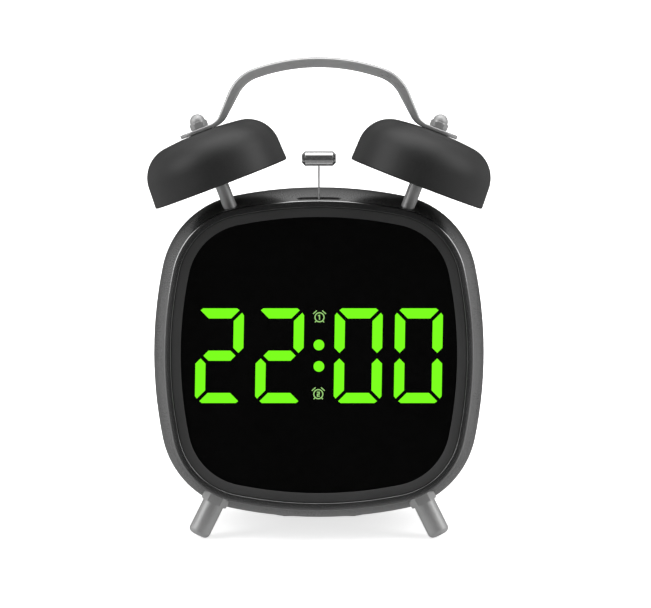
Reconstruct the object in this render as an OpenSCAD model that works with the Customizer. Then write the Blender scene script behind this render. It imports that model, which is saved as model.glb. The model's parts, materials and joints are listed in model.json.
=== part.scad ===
// Twin-bell digital alarm clock, in millimetres.
// Every piece is drawn in the face frame: X to the right, Y back from the front of the bezel,
// Z up the face, with the origin in the middle of the face. stand() then leans the whole clock
// back until its two feet and its rear pad touch the table, and centres it over the origin.

/* [Face] */
// Width and height of the bezel
face_w = 113; // [108:0.5:136]
// Radius of the four gently curved sides of the bezel
side_r = 153; // [150:1:190]
// Radius of the four corners of the bezel
corner_r = 29; // [27:0.5:34]
// Thickness of the bezel from front to back
bezel_t = 5; // [5:0.1:6]
// Width of the bezel's bright outer band
outer_band_w = 2.6; // [2.2:0.1:3.2]
// Width of the darker ring between the outer band and the window
inner_band_w = 3.6; // [2.8:0.1:4.4]
// Thickness of the display lens
lens_t = 1.8; // [1.4:0.1:2.2]

/* [Case] */
// Depth of the barrel, from the bezel to the back cover
case_d = 44; // [42:1:54]
// How far the barrel's end edges lie inside the bezel's edge
case_inset = 0.6; // [0.4:0.1:1]
// How far the barrel swells beyond the bezel's edge
case_swell = 4; // [3:0.2:5]
// Wall of the barrel
case_wall = 2.4; // [2:0.1:2.8]
// Thickness of the back cover's plate
back_t = 2.4; // [2.2:0.1:3]
// Radius of the back cover's rounded edge
back_round = 5; // [4:0.5:6]

/* [Display] */
// Height of a digit
digit_h = 34.5; // [30:0.5:37]
// Width of a digit
digit_w = 17.4; // [16:0.1:18.4]
// Width of a lit stroke
stroke_w = 3.7; // [3.2:0.1:4.2]
// Gap between two strokes that meet at a corner
stroke_gap = 1.3; // [0.9:0.1:1.6]
// Distance between the digits of a pair
digit_pitch = 21.9; // [20:0.1:22.5]
// Distance from the colon to the nearer digit's centre
colon_to_digit = 14.3; // [13.5:0.1:14.6]
// Diameter of a colon dot
dot_d = 3.9; // [3.2:0.1:4.6]
// Diameter of the ring in a small alarm icon
icon_d = 3.7; // [3.2:0.1:4]

/* [Bells] */
// Diameter of a bell at its rim
bell_d = 51.2; // [42:0.2:52]
// Height of a bell
bell_h = 20.4; // [18:0.1:22]
// Thickness of the bell's sheet metal
bell_wall = 1.2; // [1:0.1:1.4]
// Outward tilt of each bell
bell_tilt = 21; // [18:1:24]
// Height of the rim above the seat of its post
bell_lift = 9.6; // [9:0.2:12]
// Diameter of a bell post
post_d = 5; // [4.4:0.1:6]
// Diameter of the threaded ends of a bell post
stud_d = 3; // [2.6:0.1:3.4]

/* [Handle] */
// Width of the handle's strap
handle_w = 9; // [7:0.5:11]
// Thickness of the strap along the grip
grip_t = 3.7; // [3:0.1:4.4]
// Thickness of the strap in its two legs
leg_t = 3.8; // [3.2:0.1:4.2]
// Thickness of the flattened tabs
tab_t = 1.4; // [1:0.1:1.8]
// Radius of the grip's arch
arch_r = 70; // [66:1:80]
// Radius of the bend where the grip turns down into a leg
shoulder_r = 14.4; // [12:0.2:17]
// Length of the straight part of a leg
leg_run = 9; // [7:0.5:12]
// Angle of a leg above the horizontal
leg_angle = 65; // [60:1:70]

/* [Hammer] */
// Length of the hammer's head
hammer_l = 12.4; // [11:0.1:13]
// Diameter of the hammer's head
hammer_d = 5.5; // [4.6:0.1:6]
// Chamfer at the two ends of the hammer's head
hammer_chamfer = 1.2; // [0.6:0.1:1.4]
// Height of the hammer's head above the middle of the bell rims
hammer_above_rim = 9.4; // [9:0.1:10]
// Diameter of the hammer's wire
hammer_wire_d = 0.7; // [0.6:0.1:0.8]
// Length of the wire from the pivot to the head's centre
hammer_reach = 34; // [33:0.5:36]

/* [Feet] */
// Diameter of a foot
foot_d = 8; // [7:0.2:8.8]
// Length of a foot from its seat to its tip
foot_l = 16.4; // [15:0.2:20]
// Radius of the rounded edge at the tip
foot_round = 2; // [1:0.2:2.4]
// Outward splay of a foot
foot_splay = 26.3; // [22:0.1:28]
// Width across the flats of the hexagonal collar
collar_af = 8.6; // [8.6:0.1:9.4]
// Height of the hexagonal collar
collar_h = 3.5; // [3:0.1:4]
// Width of the rubber pad under the rear edge
pad_w = 34; // [28:1:36]
// Depth of the rubber pad
pad_d = 8; // [7:0.5:9]
// How far the pad stands out below the case
pad_drop = 2.6; // [2.2:0.1:3.4]

/* [Back] */
// Diameter of a round push button
button_d = 7; // [6:0.1:8.4]
// Travel of a push button
button_travel = 0.8; // [0.6:0.1:1]
// Distance between neighbouring push buttons
button_pitch = 14; // [13:0.5:16]
// Diameter of a battery cell
cell_d = 14.5; // [13.5:0.1:14.5]
// Length of a battery cell
cell_l = 50.5; // [49:0.5:50.5]
// Thickness of the battery door
door_t = 2.6; // [2.4:0.1:3]

/* [Hidden] */
$fn = 64;
fit = 0.1;
gap = 0.4;
eps = 0.01;

// Outline of the face: four side arcs and four corner arcs that meet without a kink
face_half = face_w / 2;
side_d = side_r - face_half;
arc_k = side_r - corner_r;
corner_c = (sqrt(2 * arc_k * arc_k - side_d * side_d) - side_d) / 2;
side_a = asin(corner_c / arc_k);
side_steps = 6;
corner_steps = 12;
function dir(a) = [cos(a), sin(a)];
function spread(a0, a1, n) = [for (i = [0 : n - 1]) a0 + (a1 - a0) * i / n];
// Stations round the outline, each with an arc's centre, its radius and a direction from it
stations = [for (q = [0 : 90 : 270]) each concat(
    [for (a = spread(-side_a, side_a, side_steps)) [-side_d * dir(q), side_r, q + a]],
    [for (a = spread(side_a, 90 - side_a, corner_steps))
        [corner_c * (dir(q) + dir(q + 90)), corner_r, q + a]])];
function at_station(s, o) = s[0] + (s[1] + o) * dir(s[2]);

// Barrel: one arc from end to end
case_y0 = bezel_t;
case_y1 = bezel_t + case_d;
case_mid = (case_y0 + case_y1) / 2;
swell_rise = case_swell + case_inset;
swell_r = (case_d * case_d / 4 + swell_rise * swell_rise) / (2 * swell_rise);
function skin(y, in = 0) =
    sqrt(pow(swell_r - in, 2) - pow(y - case_mid, 2)) - swell_r + case_swell;

// Front stack
lip_t = 2;
lens_y = bezel_t - lens_t - 1;
lens_edge = outer_band_w + 1.8;
window_edge = outer_band_w + inner_band_w;
flange_edge = window_edge - 0.6;
ring_front = 0.5;
bezel_round = 0.8;
band_slope = 10;
round_y = bezel_round / cos(band_slope) + (outer_band_w - bezel_round) * tan(band_slope);
led_y = bezel_t - 1;
led_t = 7;
board_y = led_y + led_t;
board_t = 1.6;
display_boss_z = 21;
display_boss_r = 2.4;
pilot_r = 0.9;
screw_r = 0.85;
screw_head_r = 2;
screw_head_h = 1.3;
screw_l = 6;
pilot_depth = 5.5;
clear_r = 1.1;

// Back stack
back_y = case_y1 + back_round;
plate_y = back_y - back_t;
rear_edge = case_inset + back_round;

// Posts and feet
post_y = bezel_t + 4.5;
foot_y = bezel_t + 5.6;
post_at = 14.2;
foot_at = 24.5;
boss_h = 6.4;
post_boss_r = 4.4;
post_boss_back = 1;
post_boss_sink = 0.4;
foot_boss_r = 5.6;
foot_boss_back = 2;
foot_boss_rise = 0.6;
seat_cut = 8;
seat_play = 0.2;
collar_play = 0.15;
stud_gap = 0.1;
nut_t = 2.4;
lock_nut_af = 5.5;
thread_play = 0.02;
stud_out = 1;
hex_r = 1 / cos(30);

// A point on a corner arc, turned from the vertical by an angle
function corner_at(angle) = [corner_c + corner_r * sin(angle), corner_c + corner_r * cos(angle)];
post_base = corner_at(post_at);
foot_base = corner_at(foot_at);
rim_z = post_base[1] + bell_lift * cos(bell_tilt);

// Bell profile
skirt_lean = 2.2;
shoulder_bend = 12;
crown_edge_slope = 7;
bell_r = bell_d / 2;
// The skirt takes the height that the shoulder and the domed crown leave
crown_rise = tan(crown_edge_slope / 2);
skirt_h = (bell_h - shoulder_bend * (cos(crown_edge_slope) - sin(skirt_lean))
    - crown_rise * (bell_r - shoulder_bend * (cos(skirt_lean) - sin(crown_edge_slope))))
    / (1 - crown_rise * tan(skirt_lean));
skirt_top_r = bell_r - skirt_h * tan(skirt_lean);
bend_c = [skirt_top_r - shoulder_bend * cos(skirt_lean), skirt_h - shoulder_bend * sin(skirt_lean)];
crown_r = (bend_c[0] + shoulder_bend * sin(crown_edge_slope)) / sin(crown_edge_slope);
crown_c = bend_c[1] - (crown_r - shoulder_bend) * cos(crown_edge_slope);

// Handle path, from the outer end of the left tab to the middle of the grip
tab_out = 7.8;
tab_run = 12.4;
ankle_r = 7;
ankle_t = 0.75 * leg_t;
tab_start = [
    -post_base[0] - (bell_lift + bell_h + tab_t / 2) * sin(bell_tilt) - tab_out * cos(bell_tilt),
    post_base[1] + (bell_lift + bell_h + tab_t / 2) * cos(bell_tilt) - tab_out * sin(bell_tilt)];
leg_start = tab_start + tab_run * [cos(bell_tilt), sin(bell_tilt)]
    + ankle_r * [sin(leg_angle) - sin(bell_tilt), cos(bell_tilt) - cos(leg_angle)];
leg_end = leg_start + leg_run * [cos(leg_angle), sin(leg_angle)];
arch_a = asin((-leg_end[0] - shoulder_r * sin(leg_angle)) / (arch_r - shoulder_r));
arch_start = leg_end
    + shoulder_r * [sin(leg_angle) - sin(arch_a), cos(arch_a) - cos(leg_angle)];

// Hammer
hammer_z = rim_z + hammer_above_rim;
pivot_z = hammer_z - hammer_reach;
pivot_r = 1;
hub_r = 2.6;
hub_t = 3;
wire_forward = 1.9;
wire_y = post_y - wire_forward;
hub_front = wire_forward + 0.8;
bracket_y = post_y + 4.8;
bracket_t = 1.2;
bracket_x = 17;
bracket_boss_z = face_half - flange_edge + 1.2;
slot_l = 15.6;
slot_reach = 9;
slot_w = 1.8;
coil_drop = 6.5;
coil_r = 4;
cheek_r = 4.5;
cheek_t = 0.8;
core_r = 2.2;
core_x = 4.2;
coil_x = core_x + 1.6;
yoke_x = 21.6;
yoke_t = 1.6;
yoke_front = 4;
yoke_foot = 5;
bracket_side = 3;
bracket_edge = 3.4;
bracket_top = 2;
arm_w = 2;
armature_w = 3.6;
armature_h = 5;
wire_seat = 0.8;
spring_turns = 3;
spring_wire_r = 0.25;
spring_pitch = 0.6;
spring_r = pivot_r + 0.45;
spring_y = hub_t / 2 + 0.7;

// Lean: the feet's rounded tips and the flat rear pad touch one table plane
pad_y = case_y1 - pad_d / 2 - 1;
pad_z = -(face_half + skin(pad_y) + pad_drop);
pad_sunk = 3;
pocket_wall = 1.2;
pocket_start = 1.7;
pocket_h = 4.6;
tip_ring_r = foot_d / 2 - foot_round;
tip_z = -foot_base[1] - (foot_l - foot_round) * cos(foot_splay);
function tip_reach(a) =
    tip_ring_r * sqrt(1 - pow(cos(a) * cos(foot_splay), 2)) + foot_round;
function settle(a, n) = n == 0 ? a :
    settle(atan((pad_z - tip_z + tip_reach(a) / cos(a)) / (pad_y - foot_y)), n - 1);
lean = settle(11, 30);
lift = pad_y * sin(lean) - pad_z * cos(lean);
front_most = -(face_half - bezel_round) * sin(lean) + round_y * cos(lean) - bezel_round;
rear_most = case_y1 * cos(lean) + (face_half - rear_edge) * sin(lean) + back_round;
shift = -(front_most + rear_most) / 2;

// Digits
stroke_half = stroke_w / 2;
mitre_shift = stroke_gap / sqrt(2);
middle_gap = 1;
tip_cut = 0.7;
tip_lead = 0.9;
display_drop = 0.2;
digit_slant = 0.9;
digit_x = [-colon_to_digit - digit_pitch, -colon_to_digit, colon_to_digit, colon_to_digit + digit_pitch];
// Strokes lit in each digit: top, upper left, upper right, middle, lower left, lower right, bottom
lit = [
    [1, 0, 1, 1, 1, 0, 1],
    [1, 0, 1, 1, 1, 0, 1],
    [1, 1, 1, 0, 1, 1, 1],
    [1, 1, 1, 0, 1, 1, 1]];
colon_z = 3.9;
icon_z = 14;
icon_t = 0.6;

// Battery bay and door
bay_wall = 1.6;
cells = 3;
cell_pitch = cell_d + 0.7;
cell_seat = 0.3;
cap_r = 2.7;
cap_h = 1;
bay_w = cell_l + 6.5;
bay_h = cells * cell_pitch + 0.4;
bay_d = cell_d + 1.2;
bay_top = 3.5;
bay_z = bay_top - bay_h / 2;
rebate = 2.2;
door_w = bay_w + 2 * rebate - 2 * gap;
door_h = bay_h + 2 * rebate - 2 * gap;
door_gap = 0.3;
hinge_r = door_t / 2;
hinge_z = bay_z - door_h / 2 + hinge_r;
hinge_y = back_y - hinge_r;
pin_r = 0.75;
pin_play = 0.05;
pin_l = 1.2;
frame_side = 2.2;
frame_t = 1.4;
grooves = 5;
groove_l = 14;
groove_w = 0.8;
groove_pitch = 1.8;
groove_deep = 0.5;
groove_edge = 5;
bay_floor = back_y - door_t - door_gap - bay_d;

// Battery contacts: a leaf at each end of a cell, and a spring of three rings at its flat end
leaf_t = 0.5;
leaf_w = 10;
leaf_gap = 0.1;
ring_count = 3;
ring_start = 0.45;
ring_pitch = 0.8;
ring_r = 4;
ring_taper = 0.4;
ring_wire_r = 0.35;

// Push buttons
button_row_z = bay_top + rebate + 26;
button_proud = 1.6;
flange_t = 1.2;
flange_w = 1;
stem_r = 1.5;
stem_l = 2.2;
snooze_z = button_row_z - 15;
snooze_l = 26;
snooze_w = 8;
switch_x = -button_pitch * 2.1;
switch_travel = 4;
inlet_x = button_pitch * 2.1;
tact_gap = 0.3;
tact_h = 3.6;
tact_w = 6;
stem_end = plate_y - fit - flange_t - stem_l;
tact_y = stem_end - button_travel - tact_gap;
button_board_y = tact_y - tact_h - board_t;
board_post_x = 2 * button_pitch + button_d / 2 + 5.5;
cover_screw_r = corner_r - rear_edge - 2;
cover_screw_at = corner_c + cover_screw_r * sin(45);
cover_boss_r = 3.4;
cover_pilot = 8;
cover_recess = 1.6;
cover_clear_r = 1.2;
cover_head_r = 2.3;
rib_t = 3;
board_pillar_r = 2.5;
board_side = 3.5;
board_edge = 5.5;
button_gap = 0.3;
slide_slot_w = 3.6;
slide_slot_l = switch_travel + 6.6;
knob_w = 4.8;
knob_h = 3;
ridge_w = 0.8;
ridge_h = 0.4;
knob_proud = 1;
switch_case_w = 13;
switch_case_h = 6;
switch_depth = 4.4;
switch_body_y = plate_y - switch_depth;
switch_cavity_y = switch_body_y + 0.9;
inlet_w = 8.9;
inlet_h = 3.2;
inlet_wall = 0.3;
inlet_depth = 5.6;
inlet_sunk = 0.4;
inlet_hole_w = inlet_w + 0.5;
inlet_hole_h = inlet_h + 0.4;
plunger_r = 1.7;
plunger_h = 1;
board_screw_l = 7;

// ---------- frames and helpers ----------

module stand() {
    translate([0, shift, lift])
        rotate([-lean, 0, 0])
            children();
}

// Turns a face drawing, with depth along its Z, into the face frame
module to_depth() {
    rotate([-90, 0, 0])
        children();
}

module along_y(y0, y1) {
    translate([0, y0, 0])
        to_depth()
            linear_extrude(y1 - y0)
                children();
}

module rod_y(x, z, r, y0, y1) {
    translate([x, y0, z])
        to_depth()
            cylinder(r = r, h = y1 - y0);
}

// The face outline, grown by o all round
module outline(o) {
    polygon([for (s = stations) at_station(s, o)]);
}

module face_plate(o, y0, y1) {
    along_y(y0, y1)
        outline(o);
}

// Sweeps a profile round the face: each point of it is an offset from the bezel's edge and a depth
module sweep_face(profile) {
    n = len(stations);
    m = len(profile);
    polyhedron(
        points = [for (s = stations, p = profile)
            let (xz = at_station(s, p[0])) [xz[0], p[1], xz[1]]],
        faces = [for (i = [0 : n - 1], j = [0 : m - 1])
            let (k = (i + 1) % n, l = (j + 1) % m)
                each [[i * m + j, k * m + l, i * m + l], [i * m + j, k * m + j, k * m + l]]]);
}

function arc(c, r, a0, a1, n) =
    [for (i = [0 : n]) c + r * [cos(a0 + (a1 - a0) * i / n), sin(a0 + (a1 - a0) * i / n)]];

// Places children on the seat of a bell post, with their Z along the post; side is -1 or 1
module on_post(side) {
    translate([side * post_base[0], post_y, post_base[1]])
        rotate([0, side * bell_tilt, 0])
            children();
}

// Places children on the seat of a foot, with their Z pointing down the foot
module on_foot(side) {
    translate([side * foot_base[0], foot_y, -foot_base[1]])
        rotate([0, side * (180 - foot_splay), 0])
            children();
}

module on_pad() {
    translate([0, pad_y, pad_z])
        rotate([lean, 0, 0])
            children();
}

// A bar with round ends, along X, lying on Z = 0
module round_bar(l, w, h) {
    for (s = [-1, 1])
        translate([s * (l - w) / 2, 0, 0])
            cylinder(r = w / 2, h = h);
    translate([-(l - w) / 2, -w / 2, 0])
        cube([l - w, w, h]);
}

module pan_screw(l) {
    cylinder(r = screw_head_r, h = screw_head_h);
    translate([0, 0, -l])
        cylinder(r = screw_r, h = l + eps);
}

module hex_nut(af, h, bore) {
    difference() {
        cylinder(r = af / 2 * hex_r, h = h, $fn = 6);
        translate([0, 0, -1])
            cylinder(r = bore, h = h + 2);
    }
}

// ---------- face ----------

module front_bezel() {
    stand()
        color("dimgray")
            sweep_face(concat(
                [[0, bezel_t]],
                arc([-bezel_round, round_y], bezel_round, 0, band_slope - 90, 5),
                [[-outer_band_w, 0], [-outer_band_w, lens_y + lens_t],
                 [-flange_edge, lens_y + lens_t], [-flange_edge, bezel_t]]));
}

module inner_bezel_ring() {
    stand()
        color([0.2, 0.2, 0.2])
            sweep_face([
                [-outer_band_w, ring_front], [-outer_band_w, lens_y + lens_t],
                [-lens_edge, lens_y + lens_t], [-lens_edge, lens_y],
                [-window_edge, lens_y], [-window_edge, lens_y - 0.5]]);
}

// Points of a digit's drawing, leaning a little to the right
function slanted(points) = [for (p = points) [p[0] + p[1] * tan(digit_slant), p[1]]];

// Top or bottom stroke: its ends follow the corner mitres and their tips are cut off
module end_stroke(sz) {
    w = digit_w / 2 - mitre_shift;
    h = digit_h / 2;
    half = [[w - tip_cut - tip_lead, h], [w - tip_cut, h - tip_cut], [w - stroke_w, h - stroke_w]];
    polygon(slanted(concat(
        [for (p = half) [p[0], sz * p[1]]],
        backwards([for (p = half) [-p[0], sz * p[1]]]))));
}

// Upright stroke: mitred at the corner, pointed at the middle of the digit
module side_stroke(sx, sz) {
    w = digit_w / 2;
    h = digit_h / 2 - mitre_shift;
    shoulder = middle_gap + stroke_half;
    points = [[w, h - tip_cut - tip_lead], [w - tip_cut, h - tip_cut], [w - stroke_w, h - stroke_w],
        [w - stroke_w, shoulder], [w - stroke_half, middle_gap], [w, shoulder]];
    polygon(slanted([for (p = points) [sx * p[0], sz * p[1]]]));
}

module middle_stroke() {
    tip = digit_w / 2 - stroke_half - middle_gap;
    polygon([[tip, 0], [tip - stroke_half, stroke_half], [stroke_half - tip, stroke_half],
        [-tip, 0], [stroke_half - tip, -stroke_half], [tip - stroke_half, -stroke_half]]);
}

module digit(on) {
    if (on[0] == 1)
        end_stroke(1);
    if (on[1] == 1)
        side_stroke(-1, 1);
    if (on[2] == 1)
        side_stroke(1, 1);
    if (on[3] == 1)
        middle_stroke();
    if (on[4] == 1)
        side_stroke(-1, -1);
    if (on[5] == 1)
        side_stroke(1, -1);
    if (on[6] == 1)
        end_stroke(-1);
}

// Everything that is lit, as windows in the lens; drawn upright and flipped into the depth frame
module lit_shapes() {
    translate([0, display_drop])
        mirror([0, 1]) {
            for (i = [0 : 3])
                translate([digit_x[i], 0])
                    digit(lit[i]);
            for (s = [-1, 1])
                translate([0, s * colon_z])
                    circle(r = dot_d / 2);
        }
}

// A little twin-bell clock: a ring with a numeral in it, two bells and two feet
module icon_shape(numeral) {
    r = icon_d / 2;
    difference() {
        circle(r = r);
        circle(r = r * 0.78);
    }
    numeral_shape(numeral, r * 0.24, r * 0.5);
    for (s = [-1, 1]) {
        rotate(s * 42)
            translate([0, r * 1.34])
                square([r * 0.95, r * 0.2], center = true);
        rotate(180 + s * 42)
            translate([0, r * 1.14])
                square([r * 0.2, r * 0.4], center = true);
    }
}

// The numeral one or two, in square strokes, from half its height below the middle to half above
module numeral_shape(numeral, w, h) {
    t = w * 0.9;
    if (numeral == 1) {
        translate([-t / 2, -h])
            square([t, 2 * h]);
        translate([-t * 1.4, h - t * 1.3])
            square([t, t]);
    } else {
        for (z = [-h, -t / 2, h - t])
            translate([-w * 1.2, z])
                square([w * 2.4, t]);
        translate([w * 1.2 - t, -t / 2])
            square([t, h]);
        translate([-w * 1.2, -h])
            square([t, h]);
    }
}

module icon_shapes() {
    for (s = [-1, 1])
        translate([s * icon_z * tan(digit_slant), display_drop - s * icon_z])
            mirror([0, 1])
                icon_shape(s > 0 ? 1 : 2);
}

module display_lens() {
    stand()
        color([0.02, 0.02, 0.02])
            difference() {
                face_plate(-lens_edge - fit, lens_y, lens_y + lens_t);
                along_y(lens_y - 1, lens_y + lens_t + 1)
                    lit_shapes();
                along_y(lens_y - 1, lens_y + icon_t)
                    icon_shapes();
            }
}

module lit_segments() {
    stand()
        color("lawngreen")
            along_y(lens_y, lens_y + lens_t)
                lit_shapes();
}

module alarm_icons() {
    stand()
        color("lightgreen")
            along_y(lens_y, lens_y + icon_t)
                icon_shapes();
}

led_w = 2 * (colon_to_digit + digit_pitch) + digit_w + 3;
led_h = digit_h + 9;
boss_x = face_half - 5.2;
board_half_w = boss_x + 1.6;
board_half_h = display_boss_z + 3;

// Flat parts on the board's back: left edge, lower edge, width, height, thickness
chips = [[-9, -2, 18, 9, 2.2], [-29, -6, 10, 6, 1.6], [19, -6, 10, 6, 1.6], [-5, -14, 10, 4, 3.5]];
// Round parts: place across, place up, radius, length
capacitors = [[16, 12, 3.1, 7], [-16, 12, 2.5, 6]];

module led_housing() {
    stand()
        color([0.08, 0.08, 0.08])
            translate([-led_w / 2, led_y, -led_h / 2])
                cube([led_w, led_t, led_h]);
}

module display_board() {
    stand()
        color("darkgreen")
            difference() {
                translate([-board_half_w, board_y, -board_half_h])
                    cube([2 * board_half_w, board_t, 2 * board_half_h]);
                for (sx = [-1, 1], sz = [-1, 1])
                    rod_y(sx * boss_x, sz * display_boss_z, clear_r, board_y - 1, board_y + board_t + 1);
            }
}

module display_chips() {
    stand()
        color([0.15, 0.15, 0.15])
            translate([0, board_y + board_t, 0]) {
                for (c = chips)
                    translate([c[0], 0, c[1]])
                        cube([c[2], c[4], c[3]]);
                for (c = capacitors)
                    rod_y(c[0], c[1], c[2], 0, c[3]);
            }
}

module display_screws() {
    stand()
        color("silver")
            for (sx = [-1, 1], sz = [-1, 1])
                translate([sx * boss_x, board_y + board_t, sz * display_boss_z])
                    to_depth()
                        pan_screw(screw_l);
}

// ---------- case ----------

module barrel_wall() {
    sweep_face(concat(
        [for (i = [0 : 10]) let (y = case_y0 + case_d * i / 10) [skin(y), y]],
        [for (i = [6 : -1 : 0]) let (y = case_y0 + lip_t + (case_d - lip_t) * i / 6)
            [skin(y, case_wall), y]],
        [[-flange_edge, case_y0 + lip_t], [-flange_edge, case_y0]]));
}

module case_bosses() {
    for (sx = [-1, 1], sz = [-1, 1])
        rod_y(sx * boss_x, sz * display_boss_z, display_boss_r, case_y0 + eps, board_y);
    for (s = [-1, 1]) {
        rod_y(s * bracket_x, bracket_boss_z, display_boss_r, case_y0 + eps, bracket_y);
        on_post(s)
            translate([0, post_boss_back, -boss_h])
                cylinder(r = post_boss_r, h = boss_h - post_boss_sink);
        on_foot(s)
            translate([0, foot_boss_back, -boss_h])
                cylinder(r = foot_boss_r, h = boss_h + foot_boss_rise);
    }
    on_pad()
        translate([-pad_w / 2 - pocket_wall, -pad_d / 2 - pocket_wall, pad_drop + pocket_start])
            cube([pad_w + 2 * pocket_wall, pad_d + 2 * pocket_wall, pocket_h]);
    for (sx = [-1, 1], sz = [-1, 1])
        rod_y(sx * cover_screw_at, sz * cover_screw_at, cover_boss_r, case_y1 - cover_pilot - 1, case_y1);
    for (q = [45 : 90 : 315])
        rotate([0, q, 0])
            translate([sqrt(2) * cover_screw_at, case_y1 - cover_pilot - 1, -rib_t / 2])
                cube([corner_r - case_inset - cover_screw_r - 0.4, cover_pilot + 1, rib_t]);
}

module case_cuts() {
    for (sx = [-1, 1], sz = [-1, 1]) {
        rod_y(sx * boss_x, sz * display_boss_z, pilot_r, board_y - pilot_depth, board_y + 1);
        rod_y(sx * cover_screw_at, sz * cover_screw_at, pilot_r, case_y1 - cover_pilot, case_y1 + 1);
    }
    for (s = [-1, 1]) {
        rod_y(s * bracket_x, bracket_boss_z, pilot_r, bracket_y - pilot_depth, bracket_y + 1);
        on_post(s) {
            cylinder(r = post_d / 2 + seat_play, h = seat_cut);
            translate([0, 0, -boss_h - 1])
                cylinder(r = stud_d / 2 + stud_gap, h = boss_h + 2);
        }
        on_foot(s) {
            cylinder(r = collar_af / 2 * hex_r + collar_play, h = seat_cut);
            translate([0, 0, -boss_h - 1])
                cylinder(r = stud_d / 2 + stud_gap, h = boss_h + 2);
        }
    }
    on_pad()
        round_bar(pad_w, pad_d, pad_drop + pad_sunk);
    translate([0, wire_y, face_half - slot_reach])
        round_bar(slot_l, slot_w, 2 * slot_reach);
}

module case_body() {
    stand()
        color([0.35, 0.35, 0.36])
            difference() {
                union() {
                    barrel_wall();
                    case_bosses();
                }
                case_cuts();
            }
}

module rear_pad() {
    stand()
        color([0.1, 0.1, 0.1])
            on_pad()
                round_bar(pad_w - 2 * fit, pad_d - 2 * fit, pad_drop + pad_sunk);
}

// ---------- feet ----------

module foot(side) {
    stand()
        color("silver")
            on_foot(side) {
                cylinder(r = collar_af / 2 * hex_r, h = collar_h, $fn = 6);
                rotate_extrude()
                    polygon(concat(
                        [[0, collar_h - eps], [foot_d / 2, collar_h - eps]],
                        arc([tip_ring_r, foot_l - foot_round], foot_round, 0, 90, 8),
                        [[0, foot_l]]));
                translate([0, 0, -boss_h - nut_t - stud_out])
                    cylinder(r = stud_d / 2, h = boss_h + nut_t + stud_out + eps);
            }
}

module left_foot() {
    foot(-1);
}

module right_foot() {
    foot(1);
}

module foot_lock_nuts() {
    stand()
        color("gainsboro")
            for (s = [-1, 1])
                on_foot(s)
                    translate([0, 0, -boss_h - nut_t])
                        hex_nut(lock_nut_af, nut_t, stud_d / 2 + thread_play);
}

// ---------- bells, posts and handle ----------

bell_skin = concat(
    [[bell_r, 0], [skirt_top_r, skirt_h]],
    arc(bend_c, shoulder_bend, skirt_lean, 90 - crown_edge_slope, 7),
    arc([0, crown_c], crown_r, 90 - crown_edge_slope, 90, 4));

// The same curves, one wall further in, back from the middle to the rim
bell_lining = concat(
    arc([0, crown_c], crown_r - bell_wall, 90, 90 - crown_edge_slope, 4),
    arc(bend_c, shoulder_bend - bell_wall, 90 - crown_edge_slope, skirt_lean, 7),
    [[bell_r - bell_wall, 0]]);

module bell(side) {
    stand()
        color([0.2, 0.2, 0.2])
            on_post(side)
                translate([0, 0, bell_lift])
                    difference() {
                        rotate_extrude($fn = 96)
                            polygon(concat(bell_skin, bell_lining));
                        cylinder(r = stud_d / 2 + stud_gap, h = 2 * bell_h);
                    }
}

module left_bell() {
    bell(-1);
}

module right_bell() {
    bell(1);
}

washer_t = 0.8;
washer_play = 0.1;
washer_edge = 1.2;
stud_in_nut = 3.2;
nut_seat = 0.02;
post_top = bell_lift + bell_h - bell_wall - washer_t;
stud_top = bell_lift + bell_h + tab_t + stud_in_nut;

module bell_post(side) {
    stand()
        color("silver")
            on_post(side) {
                cylinder(r = post_d / 2, h = post_top);
                translate([0, 0, -boss_h - nut_t - stud_out])
                    cylinder(r = stud_d / 2, h = boss_h + nut_t + stud_out + stud_top);
            }
}

module left_bell_post() {
    bell_post(-1);
}

module right_bell_post() {
    bell_post(1);
}

module bell_washers() {
    stand()
        color([0.12, 0.12, 0.12])
            for (s = [-1, 1])
                on_post(s)
                    translate([0, 0, post_top])
                        difference() {
                            cylinder(r = post_d / 2 + washer_edge, h = washer_t - washer_play);
                            translate([0, 0, -1])
                                cylinder(r = stud_d / 2 + thread_play, h = washer_t + 2);
                        }
}

module post_lock_nuts() {
    stand()
        color("gainsboro")
            for (s = [-1, 1])
                on_post(s)
                    translate([0, 0, -boss_h - nut_t])
                        hex_nut(lock_nut_af, nut_t, stud_d / 2 + thread_play);
}

dome_af = 5.8;
dome_hex_h = 2.4;
dome_r = dome_af / 2 + 0.3;
dome_sunk = 0.4;

module dome_nuts() {
    stand()
        color("silver")
            for (s = [-1, 1])
                on_post(s)
                    translate([0, 0, bell_lift + bell_h + tab_t + nut_seat])
                        difference() {
                            union() {
                                cylinder(r = dome_af / 2 * hex_r, h = dome_hex_h, $fn = 6);
                                translate([0, 0, dome_hex_h - dome_sunk])
                                    intersection() {
                                        sphere(r = dome_r);
                                        cylinder(r = dome_af, h = dome_af);
                                    }
                            }
                            translate([0, 0, -1])
                                cylinder(r = stud_d / 2 + thread_play, h = 1 + stud_in_nut + fit);
                        }
}

// Half of the handle's centre line: each entry is a point, its heading and the strap's thickness
function run(p, a, l, t0, t1, n) =
    [for (i = [0 : n]) [p + l * i / n * [cos(a), sin(a)], a, t0 + (t1 - t0) * i / n]];
function turn(p, a0, a1, r, t0, t1, n) =
    [for (i = [1 : n]) let (a = a0 + (a1 - a0) * i / n, k = a1 > a0 ? 1 : -1)
        [p + k * r * [sin(a) - sin(a0), cos(a0) - cos(a)], a, t0 + (t1 - t0) * i / n]];
handle_path = concat(
    run(tab_start, bell_tilt, tab_run, tab_t, tab_t, 1),
    turn(tab_start + tab_run * [cos(bell_tilt), sin(bell_tilt)], bell_tilt, leg_angle, ankle_r,
        tab_t, ankle_t, 8),
    turn(leg_end, leg_angle, arch_a, shoulder_r, leg_t, grip_t, 10),
    turn(arch_start, arch_a, 0, arch_r, grip_t, grip_t, 10));
function edge_point(e, side) = e[0] + side * e[2] / 2 * [-sin(e[1]), cos(e[1])];
function mirrored(p) = [-p[0], p[1]];
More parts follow.
